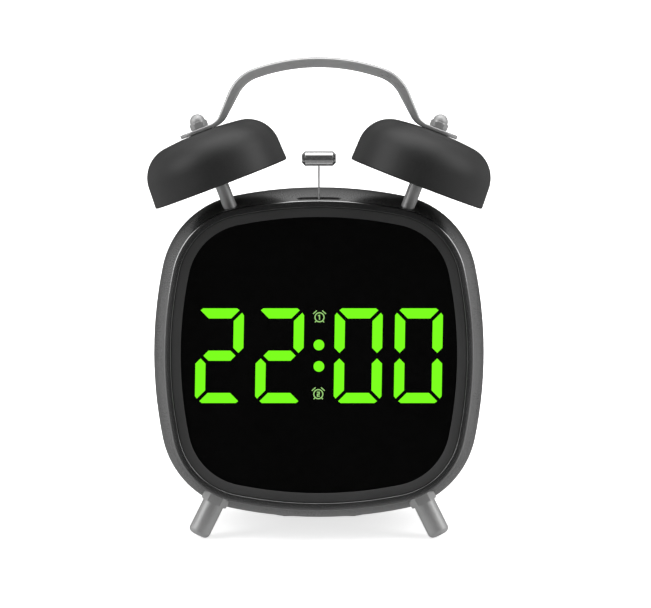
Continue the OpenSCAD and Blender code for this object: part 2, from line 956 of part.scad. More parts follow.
function backwards(v) = [for (i = [len(v) - 1 : -1 : 0]) v[i]];
handle_half = [for (i = [0 : len(handle_path) - 2]) handle_path[i]];
handle_top = [for (e = handle_half) edge_point(e, 1)];
handle_under = [for (e = handle_half) edge_point(e, -1)];
handle_outline = concat(handle_top, backwards([for (p = handle_top) mirrored(p)]),
    [for (p = handle_under) mirrored(p)], backwards(handle_under));

module carry_handle() {
    stand()
        color("silver")
            difference() {
                translate([0, post_y + handle_w / 2, 0])
                    rotate([90, 0, 0])
                        linear_extrude(handle_w)
                            polygon(handle_outline);
                for (s = [-1, 1])
                    on_post(s)
                        translate([0, 0, bell_lift + bell_h - 1])
                            cylinder(r = stud_d / 2 + stud_gap, h = tab_t + 2);
            }
}

// ---------- hammer and striker ----------

module at_pivot() {
    translate([0, post_y, pivot_z])
        children();
}

module hammer_head() {
    stand()
        color("lightgray")
            translate([-hammer_l / 2, wire_y, hammer_z])
                rotate([0, 90, 0])
                    difference() {
                        rotate_extrude()
                            polygon([
                                [0, 0], [hammer_d / 2 - hammer_chamfer, 0], [hammer_d / 2, hammer_chamfer],
                                [hammer_d / 2, hammer_l - hammer_chamfer],
                                [hammer_d / 2 - hammer_chamfer, hammer_l], [0, hammer_l]]);
                        translate([0, 0, hammer_l / 2])
                            rotate([0, 90, 0])
                                cylinder(r = hammer_wire_d / 2, h = hammer_d);
                    }
}

module hammer_wire() {
    stand()
        color("silver")
            at_pivot()
                translate([0, -wire_forward, hub_r - wire_seat])
                    cylinder(r = hammer_wire_d / 2, h = hammer_reach - hub_r + wire_seat);
}

module hammer_lever() {
    stand()
        color("slategray")
            at_pivot()
                difference() {
                    union() {
                        rod_y(0, 0, hub_r, -hub_front, hub_t / 2);
                        translate([-arm_w / 2, -hub_t / 2, -coil_drop - armature_h / 2])
                            cube([arm_w, hub_t, coil_drop + armature_h / 2]);
                        translate([-armature_w / 2, -hub_t / 2, -coil_drop - armature_h / 2])
                            cube([armature_w, hub_t, armature_h]);
                    }
                    rod_y(0, 0, pivot_r + pin_play, -hub_front - 1, hub_t);
                    translate([0, -wire_forward, hub_r - wire_seat])
                        cylinder(r = hammer_wire_d / 2, h = hub_r);
                }
}

module striker_bracket() {
    stand()
        color("lightsteelblue")
            difference() {
                union() {
                    translate([-bracket_x - bracket_side, bracket_y, pivot_z - bracket_edge])
                        cube([2 * (bracket_x + bracket_side), bracket_t,
                            bracket_boss_z - pivot_z + bracket_edge + bracket_top]);
                    translate([-bracket_edge, bracket_y, pivot_z - coil_drop - yoke_foot])
                        cube([yoke_x + yoke_t + bracket_edge, bracket_t, coil_drop + yoke_foot]);
                    translate([yoke_x, post_y - yoke_front, pivot_z - coil_drop - yoke_foot])
                        cube([yoke_t, bracket_y - post_y + yoke_front + bracket_t, coil_drop + yoke_foot]);
                    rod_y(0, pivot_z, pivot_r, post_y - hub_front - 0.8, bracket_y + pin_play);
                }
                for (s = [-1, 1])
                    rod_y(s * bracket_x, bracket_boss_z, clear_r, bracket_y - 1, bracket_y + bracket_t + 1);
                translate([yoke_x - 1, post_y, pivot_z - coil_drop])
                    rotate([0, 90, 0])
                        cylinder(r = core_r, h = yoke_t + 2);
            }
}

module striker_core() {
    stand()
        color("gray")
            translate([core_x, post_y, pivot_z - coil_drop])
                rotate([0, 90, 0])
                    cylinder(r = core_r, h = yoke_x + yoke_t - core_x);
}

module striker_coil() {
    stand()
        color("chocolate")
            translate([coil_x, post_y, pivot_z - coil_drop])
                rotate([0, 90, 0])
                    difference() {
                        union() {
                            cylinder(r = coil_r, h = yoke_x - coil_x);
                            for (x = [0, yoke_x - coil_x - cheek_t])
                                translate([0, 0, x])
                                    cylinder(r = cheek_r, h = cheek_t);
                        }
                        translate([0, 0, -1])
                            cylinder(r = core_r, h = yoke_x);
                    }
}

module hammer_spring() {
    stand()
        color("lightgray")
            at_pivot()
                for (i = [0 : spring_turns - 1])
                    translate([0, spring_y + i * spring_pitch, 0])
                        to_depth()
                            rotate_extrude()
                                translate([spring_r, 0])
                                    circle(r = spring_wire_r, $fn = 24);
}

module bracket_screws() {
    stand()
        color("silver")
            for (s = [-1, 1])
                translate([s * bracket_x, bracket_y + bracket_t, bracket_boss_z])
                    to_depth()
                        pan_screw(screw_l);
}

// ---------- back cover and controls ----------

module battery_bay_box() {
    translate([-bay_w / 2 - bay_wall, bay_floor - bay_wall, bay_z - bay_h / 2 - bay_wall])
        cube([bay_w + 2 * bay_wall, plate_y - bay_floor + bay_wall + eps, bay_h + 2 * bay_wall]);
    translate([-door_w / 2 - frame_side, back_y - door_t - door_gap - frame_t,
            bay_z - door_h / 2 - gap - frame_t])
        cube([door_w + 2 * frame_side, door_t + door_gap + 1, door_h + 2 * (gap + frame_t)]);
}

module battery_bay_cuts() {
    translate([-bay_w / 2, bay_floor, bay_z - bay_h / 2])
        cube([bay_w, bay_d + 2 * back_t, bay_h]);
    translate([-door_w / 2 - gap, back_y - door_t - door_gap, bay_z - door_h / 2 - gap])
        cube([door_w + 2 * gap, door_t + back_t, door_h + 2 * gap]);
    translate([-door_w / 2 - pin_l - gap, hinge_y, hinge_z])
        rotate([0, 90, 0])
            cylinder(r = pin_r + pin_play, h = door_w + 2 * (pin_l + gap));
}

// Where each push button sits: the left-most is first, seen from the front
function button_x(i) = (i - 2) * button_pitch;

module back_cover() {
    stand()
        color([0.13, 0.13, 0.14])
            difference() {
                union() {
                    sweep_face(concat(
                        arc([-rear_edge, case_y1], back_round, 0, 90, 6),
                        [[-rear_edge - 3, back_y], [-rear_edge - 3, plate_y],
                         [-rear_edge, plate_y], [-case_inset - case_wall, case_y1]]));
                    face_plate(-rear_edge - 2, plate_y, back_y);
                    battery_bay_box();
                    for (sx = [-1, 1], sz = [-1, 1])
                        rod_y(sx * cover_screw_at, sz * cover_screw_at, cover_boss_r - 0.2,
                            case_y1, plate_y + eps);
                    for (s = [-1, 1])
                        rod_y(s * board_post_x, button_row_z, board_pillar_r,
                            button_board_y + board_t, plate_y + eps);
                }
                battery_bay_cuts();
                for (sx = [-1, 1], sz = [-1, 1]) {
                    rod_y(sx * cover_screw_at, sz * cover_screw_at, cover_clear_r, case_y1 - 1, back_y + 1);
                    rod_y(sx * cover_screw_at, sz * cover_screw_at, cover_head_r,
                        back_y - cover_recess, back_y + 1);
                }
                for (s = [-1, 1])
                    rod_y(s * board_post_x, button_row_z, pilot_r, button_board_y, plate_y - 1);
                for (i = [0 : 4])
                    rod_y(button_x(i), button_row_z, button_d / 2 + button_gap, plate_y - 1, back_y + 1);
                translate([0, plate_y - 1, snooze_z])
                    to_depth()
                        round_bar(snooze_l + 2 * button_gap, snooze_w + 2 * button_gap, back_t + 2);
                translate([switch_x, plate_y - 1, snooze_z])
                    to_depth()
                        round_bar(slide_slot_l, slide_slot_w, back_t + 2);
                translate([inlet_x, plate_y - 1, snooze_z])
                    to_depth()
                        round_bar(inlet_hole_w, inlet_hole_h, back_t + 2);
            }
}

module cover_screws() {
    stand()
        color("silver")
            for (sx = [-1, 1], sz = [-1, 1])
                translate([sx * cover_screw_at, back_y - cover_recess, sz * cover_screw_at])
                    to_depth()
                        pan_screw(back_round + cover_pilot - cover_recess - gap);
}

module push_button(i) {
    stand()
        color([0.3, 0.3, 0.31]) {
            rod_y(button_x(i), button_row_z, button_d / 2, plate_y - fit - eps, back_y + button_proud);
            rod_y(button_x(i), button_row_z, button_d / 2 + flange_w,
                plate_y - fit - flange_t, plate_y - fit);
            rod_y(button_x(i), button_row_z, stem_r, stem_end, plate_y - fit - flange_t + eps);
        }
}

module time_button() {
    push_button(0);
}

module first_alarm_button() {
    push_button(1);
}

module second_alarm_button() {
    push_button(2);
}

module up_button() {
    push_button(3);
}

module down_button() {
    push_button(4);
}

module snooze_button() {
    stand()
        color([0.3, 0.3, 0.31])
            translate([0, 0, snooze_z]) {
                translate([0, plate_y - fit - flange_t, 0])
                    to_depth()
                        round_bar(snooze_l + 2 * flange_w, snooze_w + 2 * flange_w, flange_t);
                translate([0, plate_y - fit - eps, 0])
                    to_depth()
                        round_bar(snooze_l, snooze_w, back_y + button_proud - plate_y + fit);
                rod_y(0, 0, stem_r, stem_end, plate_y - fit - flange_t + eps);
            }
}

module alarm_switch() {
    stand()
        color([0.75, 0.75, 0.75])
            translate([switch_x - switch_travel / 2, 0, snooze_z]) {
                translate([-knob_w / 2, switch_cavity_y + fit, -knob_h / 2])
                    cube([knob_w, back_y + knob_proud - switch_cavity_y - fit, knob_h]);
                for (z = [-knob_h / 2, knob_h / 2 - ridge_w])
                    translate([-knob_w / 2, back_y + knob_proud - eps, z])
                        cube([knob_w, ridge_h + eps, ridge_w]);
            }
}

module switch_body() {
    stand()
        color("silver")
            translate([switch_x, 0, snooze_z])
                difference() {
                    translate([-switch_case_w / 2, button_board_y + board_t, -switch_case_h / 2])
                        cube([switch_case_w, plate_y - button_board_y - board_t - 2 * fit, switch_case_h]);
                    translate([-(switch_travel + knob_w) / 2 - gap, switch_cavity_y, -knob_h / 2 - gap])
                        cube([switch_travel + knob_w + 2 * gap, switch_depth + 1, knob_h + 2 * gap]);
                }
}

module button_board() {
    stand()
        color("darkgreen")
            difference() {
                translate([-board_post_x - board_side, button_board_y, snooze_z - board_edge])
                    cube([2 * (board_post_x + board_side), board_t,
                        button_row_z - snooze_z + 2 * board_edge]);
                for (s = [-1, 1]) {
                    rod_y(s * board_post_x, button_row_z, clear_r,
                        button_board_y - 1, button_board_y + board_t + 1);
                    rod_y(s * cover_screw_at, cover_screw_at, cover_boss_r + gap,
                        button_board_y - 1, button_board_y + board_t + 1);
                }
            }
}

module tact_switch(x, z) {
    translate([x - tact_w / 2, button_board_y + board_t, z - tact_w / 2])
        cube([tact_w, tact_h - plunger_h, tact_w]);
    rod_y(x, z, plunger_r, button_board_y + board_t, tact_y);
}

module tact_switches() {
    stand()
        color("dimgray") {
            for (i = [0 : 4])
                tact_switch(button_x(i), button_row_z);
            tact_switch(0, snooze_z);
        }
}

module button_board_screws() {
    stand()
        color("silver")
            for (s = [-1, 1])
                translate([s * board_post_x, button_board_y, button_row_z])
                    rotate([90, 0, 0])
                        pan_screw(board_screw_l);
}

module power_inlet() {
    stand()
        color("silver")
            translate([inlet_x, 0, snooze_z])
                difference() {
                    translate([0, button_board_y + board_t, 0])
                        to_depth()
                            round_bar(inlet_w, inlet_h, back_y - inlet_sunk - button_board_y - board_t);
                    translate([0, back_y - inlet_sunk - inlet_depth, 0])
                        to_depth()
                            round_bar(inlet_w - 2 * inlet_wall, inlet_h - 2 * inlet_wall, inlet_depth + 1);
                }
}

// ---------- battery door, cells and contacts ----------

module battery_door() {
    stand()
        color([0.15, 0.15, 0.16])
            difference() {
                union() {
                    translate([-door_w / 2, back_y - door_t, hinge_z])
                        cube([door_w, door_t, door_h - hinge_r]);
                    translate([-door_w / 2, hinge_y, hinge_z])
                        rotate([0, 90, 0])
                            cylinder(r = hinge_r, h = door_w);
                    translate([-door_w / 2 - pin_l, hinge_y, hinge_z])
                        rotate([0, 90, 0])
                            cylinder(r = pin_r, h = door_w + 2 * pin_l);
                }
                for (i = [0 : grooves - 1])
                    translate([-groove_l / 2, back_y - groove_deep,
                            bay_z + door_h / 2 - groove_edge - groove_pitch * i])
                        cube([groove_l, 2 * groove_deep, groove_w]);
            }
}

module batteries() {
    stand()
        color("goldenrod")
            for (i = [0 : cells - 1]) {
                flip = i % 2 == 0 ? 1 : -1;
                translate([0, bay_floor + cell_d / 2 + cell_seat, bay_z + (i - 1) * cell_pitch])
                    rotate([0, 90 * flip, 0]) {
                        translate([0, 0, -cell_l / 2])
                            cylinder(r = cell_d / 2, h = cell_l - cap_h);
                        translate([0, 0, cell_l / 2 - cap_h - eps])
                            cylinder(r = cap_r, h = cap_h + eps);
                    }
            }
}

module battery_contacts() {
    stand()
        color("gainsboro")
            for (i = [0 : cells - 1], s = [-1, 1]) {
                z = bay_z + (i - 1) * cell_pitch;
                leaf_x = s * (bay_w / 2 - leaf_gap - leaf_t / 2) - leaf_t / 2;
                translate([leaf_x, bay_floor + 2, z - leaf_w / 2])
                    cube([leaf_t, cell_d - 4, leaf_w]);
                flat = (s > 0) == (i % 2 == 0);
                if (!flat)
                    for (k = [0 : ring_count - 1])
                        translate([s * (cell_l / 2 + ring_start + k * ring_pitch),
                                bay_floor + cell_d / 2 + cell_seat, z])
                            rotate([0, 90, 0])
                                rotate_extrude()
                                    translate([ring_r - k * ring_taper, 0])
                                        circle(r = ring_wire_r, $fn = 20);
            }
}

front_bezel();
inner_bezel_ring();
display_lens();
lit_segments();
alarm_icons();
led_housing();
display_board();
display_chips();
case_body();
back_cover();
left_bell();
right_bell();
left_bell_post();
right_bell_post();
bell_washers();
post_lock_nuts();
dome_nuts();
carry_handle();
hammer_head();
hammer_wire();
hammer_lever();
striker_bracket();
striker_core();
striker_coil();
hammer_spring();
bracket_screws();
left_foot();
right_foot();
foot_lock_nuts();
rear_pad();
time_button();
first_alarm_button();
second_alarm_button();
up_button();
down_button();
snooze_button();
alarm_switch();
switch_body();
button_board();
tact_switches();
power_inlet();
battery_door();
batteries();
battery_contacts();
display_screws();
button_board_screws();
cover_screws();
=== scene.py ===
"""Looks of the twin-bell digital alarm clock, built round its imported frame.

Shapes are drawn in millimetres in the face frame (X right, Y back from the front of the bezel, Z up the
face, origin in the middle of the face), and STAND carries them into the row frame, in metres.
"""
import json
from math import asin, atan2, cos, pi, radians, sin, sqrt, tan

import bmesh
import bpy
from mathutils import Matrix, Vector


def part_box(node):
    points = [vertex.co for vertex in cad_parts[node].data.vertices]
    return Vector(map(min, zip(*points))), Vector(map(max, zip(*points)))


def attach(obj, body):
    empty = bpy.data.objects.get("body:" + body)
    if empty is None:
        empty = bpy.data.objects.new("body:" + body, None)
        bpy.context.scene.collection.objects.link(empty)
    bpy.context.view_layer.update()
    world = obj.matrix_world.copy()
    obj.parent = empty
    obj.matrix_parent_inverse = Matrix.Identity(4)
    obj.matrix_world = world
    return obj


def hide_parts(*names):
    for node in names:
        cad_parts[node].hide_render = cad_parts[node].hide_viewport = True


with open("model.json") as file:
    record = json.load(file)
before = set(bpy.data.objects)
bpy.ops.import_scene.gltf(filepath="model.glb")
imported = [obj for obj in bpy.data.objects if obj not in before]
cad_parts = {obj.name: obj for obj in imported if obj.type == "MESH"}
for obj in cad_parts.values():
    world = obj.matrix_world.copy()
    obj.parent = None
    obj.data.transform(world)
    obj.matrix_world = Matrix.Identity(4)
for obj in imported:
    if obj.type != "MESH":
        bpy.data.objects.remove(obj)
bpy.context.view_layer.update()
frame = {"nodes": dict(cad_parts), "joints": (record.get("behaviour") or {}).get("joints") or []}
MM = 0.001

# ---------- the face frame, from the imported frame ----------

swing = next(j for j in frame["joints"] if j["name"] == "hammer_swing")
LEAN = atan2(-swing["axis"][2], swing["axis"][1])
TILT = Matrix.Rotation(-LEAN, 4, "X")


def turned_box(node):
    """Lowest and highest corner of a CAD node along the face frame's directions, in millimetres."""
    back = TILT.inverted()
    points = [back @ v.co / MM for v in frame["nodes"][node].data.vertices]
    return [Vector([pick(p[i] for p in points) for i in range(3)]) for pick in (min, max)]


bezel_low, bezel_high = turned_box("front_bezel")
ORIGIN = Vector((0, bezel_low.y, (bezel_low.z + bezel_high.z) / 2))
STAND = TILT @ Matrix.Translation(ORIGIN * MM) @ Matrix.Scale(MM, 4)


def face_box(node):
    """A CAD node's box in the face frame, in millimetres."""
    low, high = turned_box(node)
    return low - ORIGIN, high - ORIGIN


# ---------- driving sizes, in millimetres ----------

FACE_HALF = bezel_high.x
BEZEL_T = bezel_high.y - bezel_low.y
SIDE_R = 153
CORNER_R = 29
OUTER_BAND = 2.6
BAND_SLOPE = radians(10)
BEZEL_ROUND = 0.8
INNER_BAND = 3.6
LENS_Y = face_box("display_lens")[0].y
LENS_T = 1.8
CASE_Y0 = BEZEL_T
CASE_Y1 = face_box("case_body")[1].y
CASE_INSET = 0.6
CASE_SWELL = 4
CASE_WALL = 2.4
BACK_Y = face_box("back_cover")[1].y
BACK_ROUND = BACK_Y - CASE_Y1
BACK_T = 2.4

BELL_R = 25.6
BELL_H = 20.4
BELL_WALL = 1.2
BELL_TILT = radians(21)
BELL_LIFT = 9.6
POST_Y = 9.5
POST_R = 2.5
POST_AT = radians(14.2)
FOOT_AT = radians(24.5)
FOOT_Y = 10.6
FOOT_SPLAY = radians(26.3)
FOOT_R = 4
FOOT_L = 16.4
COLLAR_AF = 8.6
COLLAR_H = 3.5
STRAP_W = 9
TAB_T = 1.4
LEG_T = 3.8
GRIP_T = 3.7

HAMMER_LOW, HAMMER_HIGH = face_box("hammer_head")
WIRE_LOW, WIRE_HIGH = face_box("hammer_wire")
WIRE_Y = (WIRE_LOW.y + WIRE_HIGH.y) / 2

# ---------- outlines ----------

SIDE_D = SIDE_R - FACE_HALF
ARC_K = SIDE_R - CORNER_R
CORNER_C = (sqrt(2 * ARC_K ** 2 - SIDE_D ** 2) - SIDE_D) / 2
SIDE_A = asin(CORNER_C / ARC_K)


def direction(a):
    return Vector((cos(a), sin(a)))


def spread(a, b, n):
    """n values from a towards b, without b."""
    return [a + (b - a) * i / n for i in range(n)]


def stations(side_steps=14, corner_steps=30):
    """Points round the face outline, each as an arc's centre, its radius and a direction from it."""
    found = []
    for quarter in range(4):
        q = quarter * pi / 2
        corner = CORNER_C * (direction(q) + direction(q + pi / 2))
        found += [(-SIDE_D * direction(q), SIDE_R, q + a) for a in spread(-SIDE_A, SIDE_A, side_steps)]
        found += [(corner, CORNER_R, q + a) for a in spread(SIDE_A, pi / 2 - SIDE_A, corner_steps)]
    return found


STATIONS = stations()


def arc(centre, r, a0, a1, n):
    return [Vector(centre) + r * direction(a0 + (a1 - a0) * i / n) for i in range(n + 1)]


def fillet(corners, steps=5, closed=True):
    """An outline with each (x, y, radius) corner rounded."""
    out = []
    count = len(corners)
    for i, (x, y, r) in enumerate(corners):
        here = Vector((x, y))
        if r == 0 or (not closed and i in (0, count - 1)):
            out.append(here)
            continue
        a = Vector(corners[i - 1][:2]) - here
        b = Vector(corners[(i + 1) % count][:2]) - here
        half = a.angle(b) / 2
        cut = min(r / tan(half), 0.49 * a.length, 0.49 * b.length)
        centre = here + (a.normalized() + b.normalized()).normalized() * cut / cos(half)
        start, end = here + a.normalized() * cut - centre, here + b.normalized() * cut - centre
        out += [centre + start.length * start.slerp(end, k / steps).normalized() for k in range(steps + 1)]
    return out


# ---------- mesh makers ----------

def new_piece(name, bm, place=None, sharp=32):
    """Turns a bmesh in millimetres into an object in the row frame; place moves it in the face frame.
    The 'grain' attribute keeps each point's place in its own drawing, for brushed and turned finishes."""
    place = place or Matrix.Identity(4)
    bmesh.ops.recalc_face_normals(bm, faces=bm.faces)
    mesh = bpy.data.meshes.new(name)
    bm.to_mesh(mesh)
    bm.free()
    grain = mesh.attributes.new("grain", "FLOAT_VECTOR", "POINT")
    grain.data.foreach_set("vector", [c for v in mesh.vertices for c in v.co])
    mesh.transform(STAND @ place)
    mesh.shade_smooth()
    mesh.set_sharp_from_angle(angle=radians(sharp))
    piece = bpy.data.objects.new(name, mesh)
    bpy.context.scene.collection.objects.link(piece)
    return piece


def rings_to_bmesh(bm, rings, closed_ring=True, caps=False, closed_profile=False):
    """Skins a list of rings of points with quads."""
    rows = [[bm.verts.new(p) for p in ring] for ring in rings]
    pairs = len(rows) if closed_profile else len(rows) - 1
    n = len(rows[0])
    for j in range(pairs):
        a, b = rows[j], rows[(j + 1) % len(rows)]
        for i in range(n if closed_ring else n - 1):
            k = (i + 1) % n
            bm.faces.new((a[i], a[k], b[k], b[i]))
    if caps:
        bm.faces.new(rows[0])
        bm.faces.new(rows[-1])
    return rows


def sweep(profile, caps=False):
    """Carries a profile of (offset from the bezel's edge, depth) round the face."""
    bm = bmesh.new()
    rings = [[Vector(((c + (r + o) * direction(a)).x, y, (c + (r + o) * direction(a)).y))
              for c, r, a in STATIONS] for o, y in profile]
    rings_to_bmesh(bm, rings, caps=caps, closed_profile=not caps)
    return bm


def lathe(profile, steps=96):
    """Turns a profile of (radius, height) about Z. Points on the axis become one point."""
    bm = bmesh.new()
    rows = []
    for r, h in profile:
        if r < 1e-6:
            rows.append([bm.verts.new((0, 0, h))])
        else:
            rows.append([bm.verts.new((r * cos(t), r * sin(t), h)) for t in spread(0, 2 * pi, steps)])
    for a, b in zip(rows, rows[1:]):
        for i in range(steps):
            k = (i + 1) % steps
            ring = [a[i % len(a)], a[k % len(a)], b[k % len(b)], b[i % len(b)]]
            bm.faces.new(list(dict.fromkeys(ring)))
    return bm


def prism(outline, h0, h1, bevel=0.0, steps=3):
    """Extrudes a closed XY outline from h0 to h1 and rounds its end edges."""
    bm = bmesh.new()
    low = [bm.verts.new((x, y, h0)) for x, y in outline]
    high = [bm.verts.new((x, y, h1)) for x, y in outline]
    ends = [bm.faces.new(low), bm.faces.new(high)]
    for i in range(len(low)):
        k = (i + 1) % len(low)
        bm.faces.new((low[i], low[k], high[k], high[i]))
    if bevel:
        edges = list({e for f in ends for e in f.edges})
        bmesh.ops.bevel(bm, geom=edges, offset=bevel, segments=steps, profile=0.5, affect="EDGES")
    return bm


def bar_outline(length, width, steps=16):
    """A bar along X with round ends."""
    half = (length - width) / 2
    right = arc((half, 0), width / 2, -pi / 2, pi / 2, steps)
    left = arc((-half, 0), width / 2, pi / 2, 3 * pi / 2, steps)
    return right + left


def box_outline(width, height, r, steps=5):
    corners = ((-1, -1), (1, -1), (1, 1), (-1, 1))
    return fillet([(sx * width / 2, sy * height / 2, r) for sx, sy in corners], steps)


def hexagon_r(across_flats, angle):
    """How far a hexagon's outline is from its middle at an angle."""
    return across_flats / 2 / cos((angle % (pi / 3)) - pi / 6)


def hexagon_ring(across_flats, r, h, steps=96):
    """A ring of points at height h on a hexagon whose corners are cut back to radius r."""
    ring = []
    for t in spread(0, 2 * pi, steps):
        reach = min(hexagon_r(across_flats, t), r)
        ring.append(Vector((reach * cos(t), reach * sin(t), h)))
    return ring


def placed(bm, matrix):
    """The same bmesh, carried to its place."""
    bm.transform(matrix)
    return bm


def merged(*parts):
    """One bmesh that holds several."""
    bm = bmesh.new()
    for part in parts:
        mesh = bpy.data.meshes.new("part")
        part.to_mesh(mesh)
        part.free()
        bm.from_mesh(mesh)
        bpy.data.meshes.remove(mesh)
    return bm


def carved(body, cutters):
    """A bmesh with each cutter taken away, one after another."""
    def temporary(bm):
        bmesh.ops.recalc_face_normals(bm, faces=bm.faces)
        mesh = bpy.data.meshes.new("temporary")
        bm.to_mesh(mesh)
        bm.free()
        made = bpy.data.objects.new("temporary", mesh)
        bpy.context.scene.collection.objects.link(made)
        return made

    base = temporary(body)
    tools = [temporary(c) for c in cutters]
    for tool in tools:
        cut = base.modifiers.new("cut", "BOOLEAN")
        cut.operation, cut.solver, cut.object = "DIFFERENCE", "EXACT", tool
    bpy.context.view_layer.update()
    result = bmesh.new()
    result.from_object(base, bpy.context.evaluated_depsgraph_get())
    for o in (base, *tools):
        mesh = o.data
        bpy.data.objects.remove(o)
        bpy.data.meshes.remove(mesh)
    return result


def weighted(piece):
    """Keeps large flat faces flat next to rounded edges."""
    modifier = piece.modifiers.new("flat", "WEIGHTED_NORMAL")
    modifier.keep_sharp = True
    return piece


# ---------- places in the face frame ----------

TO_DEPTH = Matrix.Rotation(-pi / 2, 4, "X")
TO_SIDE = Matrix.Rotation(pi / 2, 4, "Y")


def at(x, y, z):
    return Matrix.Translation((x, y, z))


def facing_back(x, y, z):
    """A drawing's Z becomes depth, at that place."""
    return at(x, y, z) @ TO_DEPTH


def on_outline(angle):
    """A point on an upper corner arc, turned from the vertical by angle."""
    return CORNER_C + CORNER_R * sin(angle), CORNER_C + CORNER_R * cos(angle)


POST_X, POST_Z = on_outline(POST_AT)
FOOT_X, FOOT_Z = on_outline(FOOT_AT)


def on_post(side, h=0.0):
    turn = Matrix.Rotation(side * BELL_TILT, 4, "Y")
    return at(side * POST_X, POST_Y, POST_Z) @ turn @ at(0, 0, h)


def on_foot(side, h=0.0):
    turn = Matrix.Rotation(side * (pi - FOOT_SPLAY), 4, "Y")
    return at(side * FOOT_X, FOOT_Y, -FOOT_Z) @ turn @ at(0, 0, h)


# ---------- materials ----------

def node(tree, kind, inputs=None, **settings):
    made = tree.nodes.new(kind)
    for key, value in settings.items():
        setattr(made, key, value)
    for key, value in (inputs or {}).items():
        if isinstance(value, bpy.types.NodeSocket):
            tree.links.new(value, made.inputs[key])
        else:
            made.inputs[key].default_value = value
    return made


def coordinates(tree, stretch, grain):
    """Object coordinates in millimetres, or the piece's own drawing when grain is true."""
    if grain:
        source = node(tree, "ShaderNodeAttribute", attribute_name="grain").outputs["Vector"]
        scale = stretch
    else:
        source = node(tree, "ShaderNodeTexCoord").outputs["Object"]
        scale = [s / MM for s in stretch]
    return node(tree, "ShaderNodeMapping", {"Vector": source, "Scale": scale}).outputs["Vector"]


def noise(tree, vector, size, detail=4.0, rough=0.55):
    """Noise whose blobs are about size millimetres across."""
    made = node(tree, "ShaderNodeTexNoise",
                {"Vector": vector, "Scale": 1 / size, "Detail": detail, "Roughness": rough})
    return made.outputs["Fac"]


def ramp(tree, fac, low, high, a, b):
    """Maps fac from low..high to the numbers a..b."""
    made = node(tree, "ShaderNodeMapRange",
                {"Value": fac, "From Min": low, "From Max": high, "To Min": a, "To Max": b})
    return made.outputs["Result"]


def maths(tree, operation, a, b=0.0):
    return node(tree, "ShaderNodeMath", {0: a, 1: b}, operation=operation).outputs[0]


def mix_colour(tree, fac, a, b):
    made = node(tree, "ShaderNodeMix", {"Factor": fac}, data_type="RGBA")
    for name, value in (("A", a), ("B", b)):
        socket = next(s for s in made.inputs if s.name == name and s.type == "RGBA")
        if isinstance(value, bpy.types.NodeSocket):
            tree.links.new(value, socket)
        else:
            socket.default_value = (*value, 1)
    return next(s for s in made.outputs if s.type == "RGBA")


def grey(value, warm=0.0):
    return (value * (1 + warm), value, value * (1 - warm))


def finish_material(name, low, high, size=0.6, rough=(0.3, 0.45), metallic=0.0, bump=0.02, stretch=(1, 1, 1),
                    grain=False, cloud=18.0, speck=None, **sockets):
    """One procedural finish: fine grain in colour, roughness and bump, slow clouds, and optional specks."""
    made = bpy.data.materials.new(name)
    made.use_nodes = True
    tree = made.node_tree
    shader = tree.nodes["Principled BSDF"]
    vector = coordinates(tree, stretch, grain)
    fine = noise(tree, vector, size)
    clouds = noise(tree, coordinates(tree, (1, 1, 1), False), cloud, detail=2.0)
    fine_share, cloud_share = ramp(tree, fine, 0.3, 0.7, 0, 0.6), ramp(tree, clouds, 0.3, 0.7, 0, 0.4)
    blend = maths(tree, "ADD", fine_share, cloud_share)
    colour = mix_colour(tree, blend, low, high)
    if speck:
        speck_colour, speck_size, amount = speck
        cells = node(tree, "ShaderNodeTexVoronoi",
                     {"Vector": coordinates(tree, (1, 1, 1), False), "Scale": 1 / speck_size})
        dots = ramp(tree, cells.outputs["Distance"], 0.0, 0.34, amount, 0)
        colour = mix_colour(tree, dots, colour, speck_colour)
    tree.links.new(colour, shader.inputs["Base Color"])
    tree.links.new(ramp(tree, blend, 0.1, 0.9, *rough), shader.inputs["Roughness"])
    if bump:
        relief = node(tree, "ShaderNodeBump", {"Height": fine, "Strength": 1.0, "Distance": bump * MM})
        tree.links.new(relief.outputs["Normal"], shader.inputs["Normal"])
    shader.inputs["Metallic"].default_value = metallic
    for key, value in sockets.items():
        shader.inputs[key.replace("_", " ")].default_value = value
    return made


def glowing(name, colour, strength):
    """A lit stroke: even light with a slightly softer, deeper tone here and there, as a diffuser has."""
    unlit_low, unlit_high = [c * 0.05 for c in colour], [c * 0.08 for c in colour]
    made = finish_material(name, unlit_low, unlit_high, size=1.4, rough=(0.3, 0.45), bump=0.004)
    shader = made.node_tree.nodes["Principled BSDF"]
    shader.inputs["Emission Color"].default_value = (*colour, 1)
    shader.inputs["Emission Strength"].default_value = strength
    shader.inputs["Specular IOR Level"].default_value = 0.1
    return made


# How the grain is drawn out: along a strap, round a turned peg, and in rings round the hammer's head
LENGTHWISE = (0.06, 1, 1)
TURNED = (1, 1, 0.08)
RINGED = (0.05, 0.05, 1)

GUNMETAL = finish_material("gunmetal_paint", grey(0.12), grey(0.16), size=0.35, rough=(0.24, 0.34),
                           metallic=0.72, bump=0.005, speck=(grey(0.34), 0.28, 0.4), Coat_Weight=0.1,
                           Coat_Roughness=0.25)
BEZEL = finish_material("bezel_paint", grey(0.2), grey(0.27), size=0.3, rough=(0.16, 0.22), metallic=0.97,
                        bump=0.002, speck=(grey(0.36), 0.25, 0.25))
RING = finish_material("ring_matt", grey(0.012), grey(0.018), size=0.25, rough=(0.45, 0.6), bump=0.008)
LENS = finish_material("lens_acrylic", grey(0.001), grey(0.002), size=3.0, rough=(0.06, 0.1), bump=0.0,
                       cloud=40.0, Specular_IOR_Level=0.18)
DIGIT = glowing("digit_green", (0.185, 0.97, 0.010), 1.0)
ICON = glowing("icon_green", (0.38, 0.72, 0.22), 0.8)
BELL = finish_material("bell_powder_coat", grey(0.010), grey(0.016), size=0.5, rough=(0.42, 0.52), bump=0.016,
                       Specular_IOR_Level=0.32)
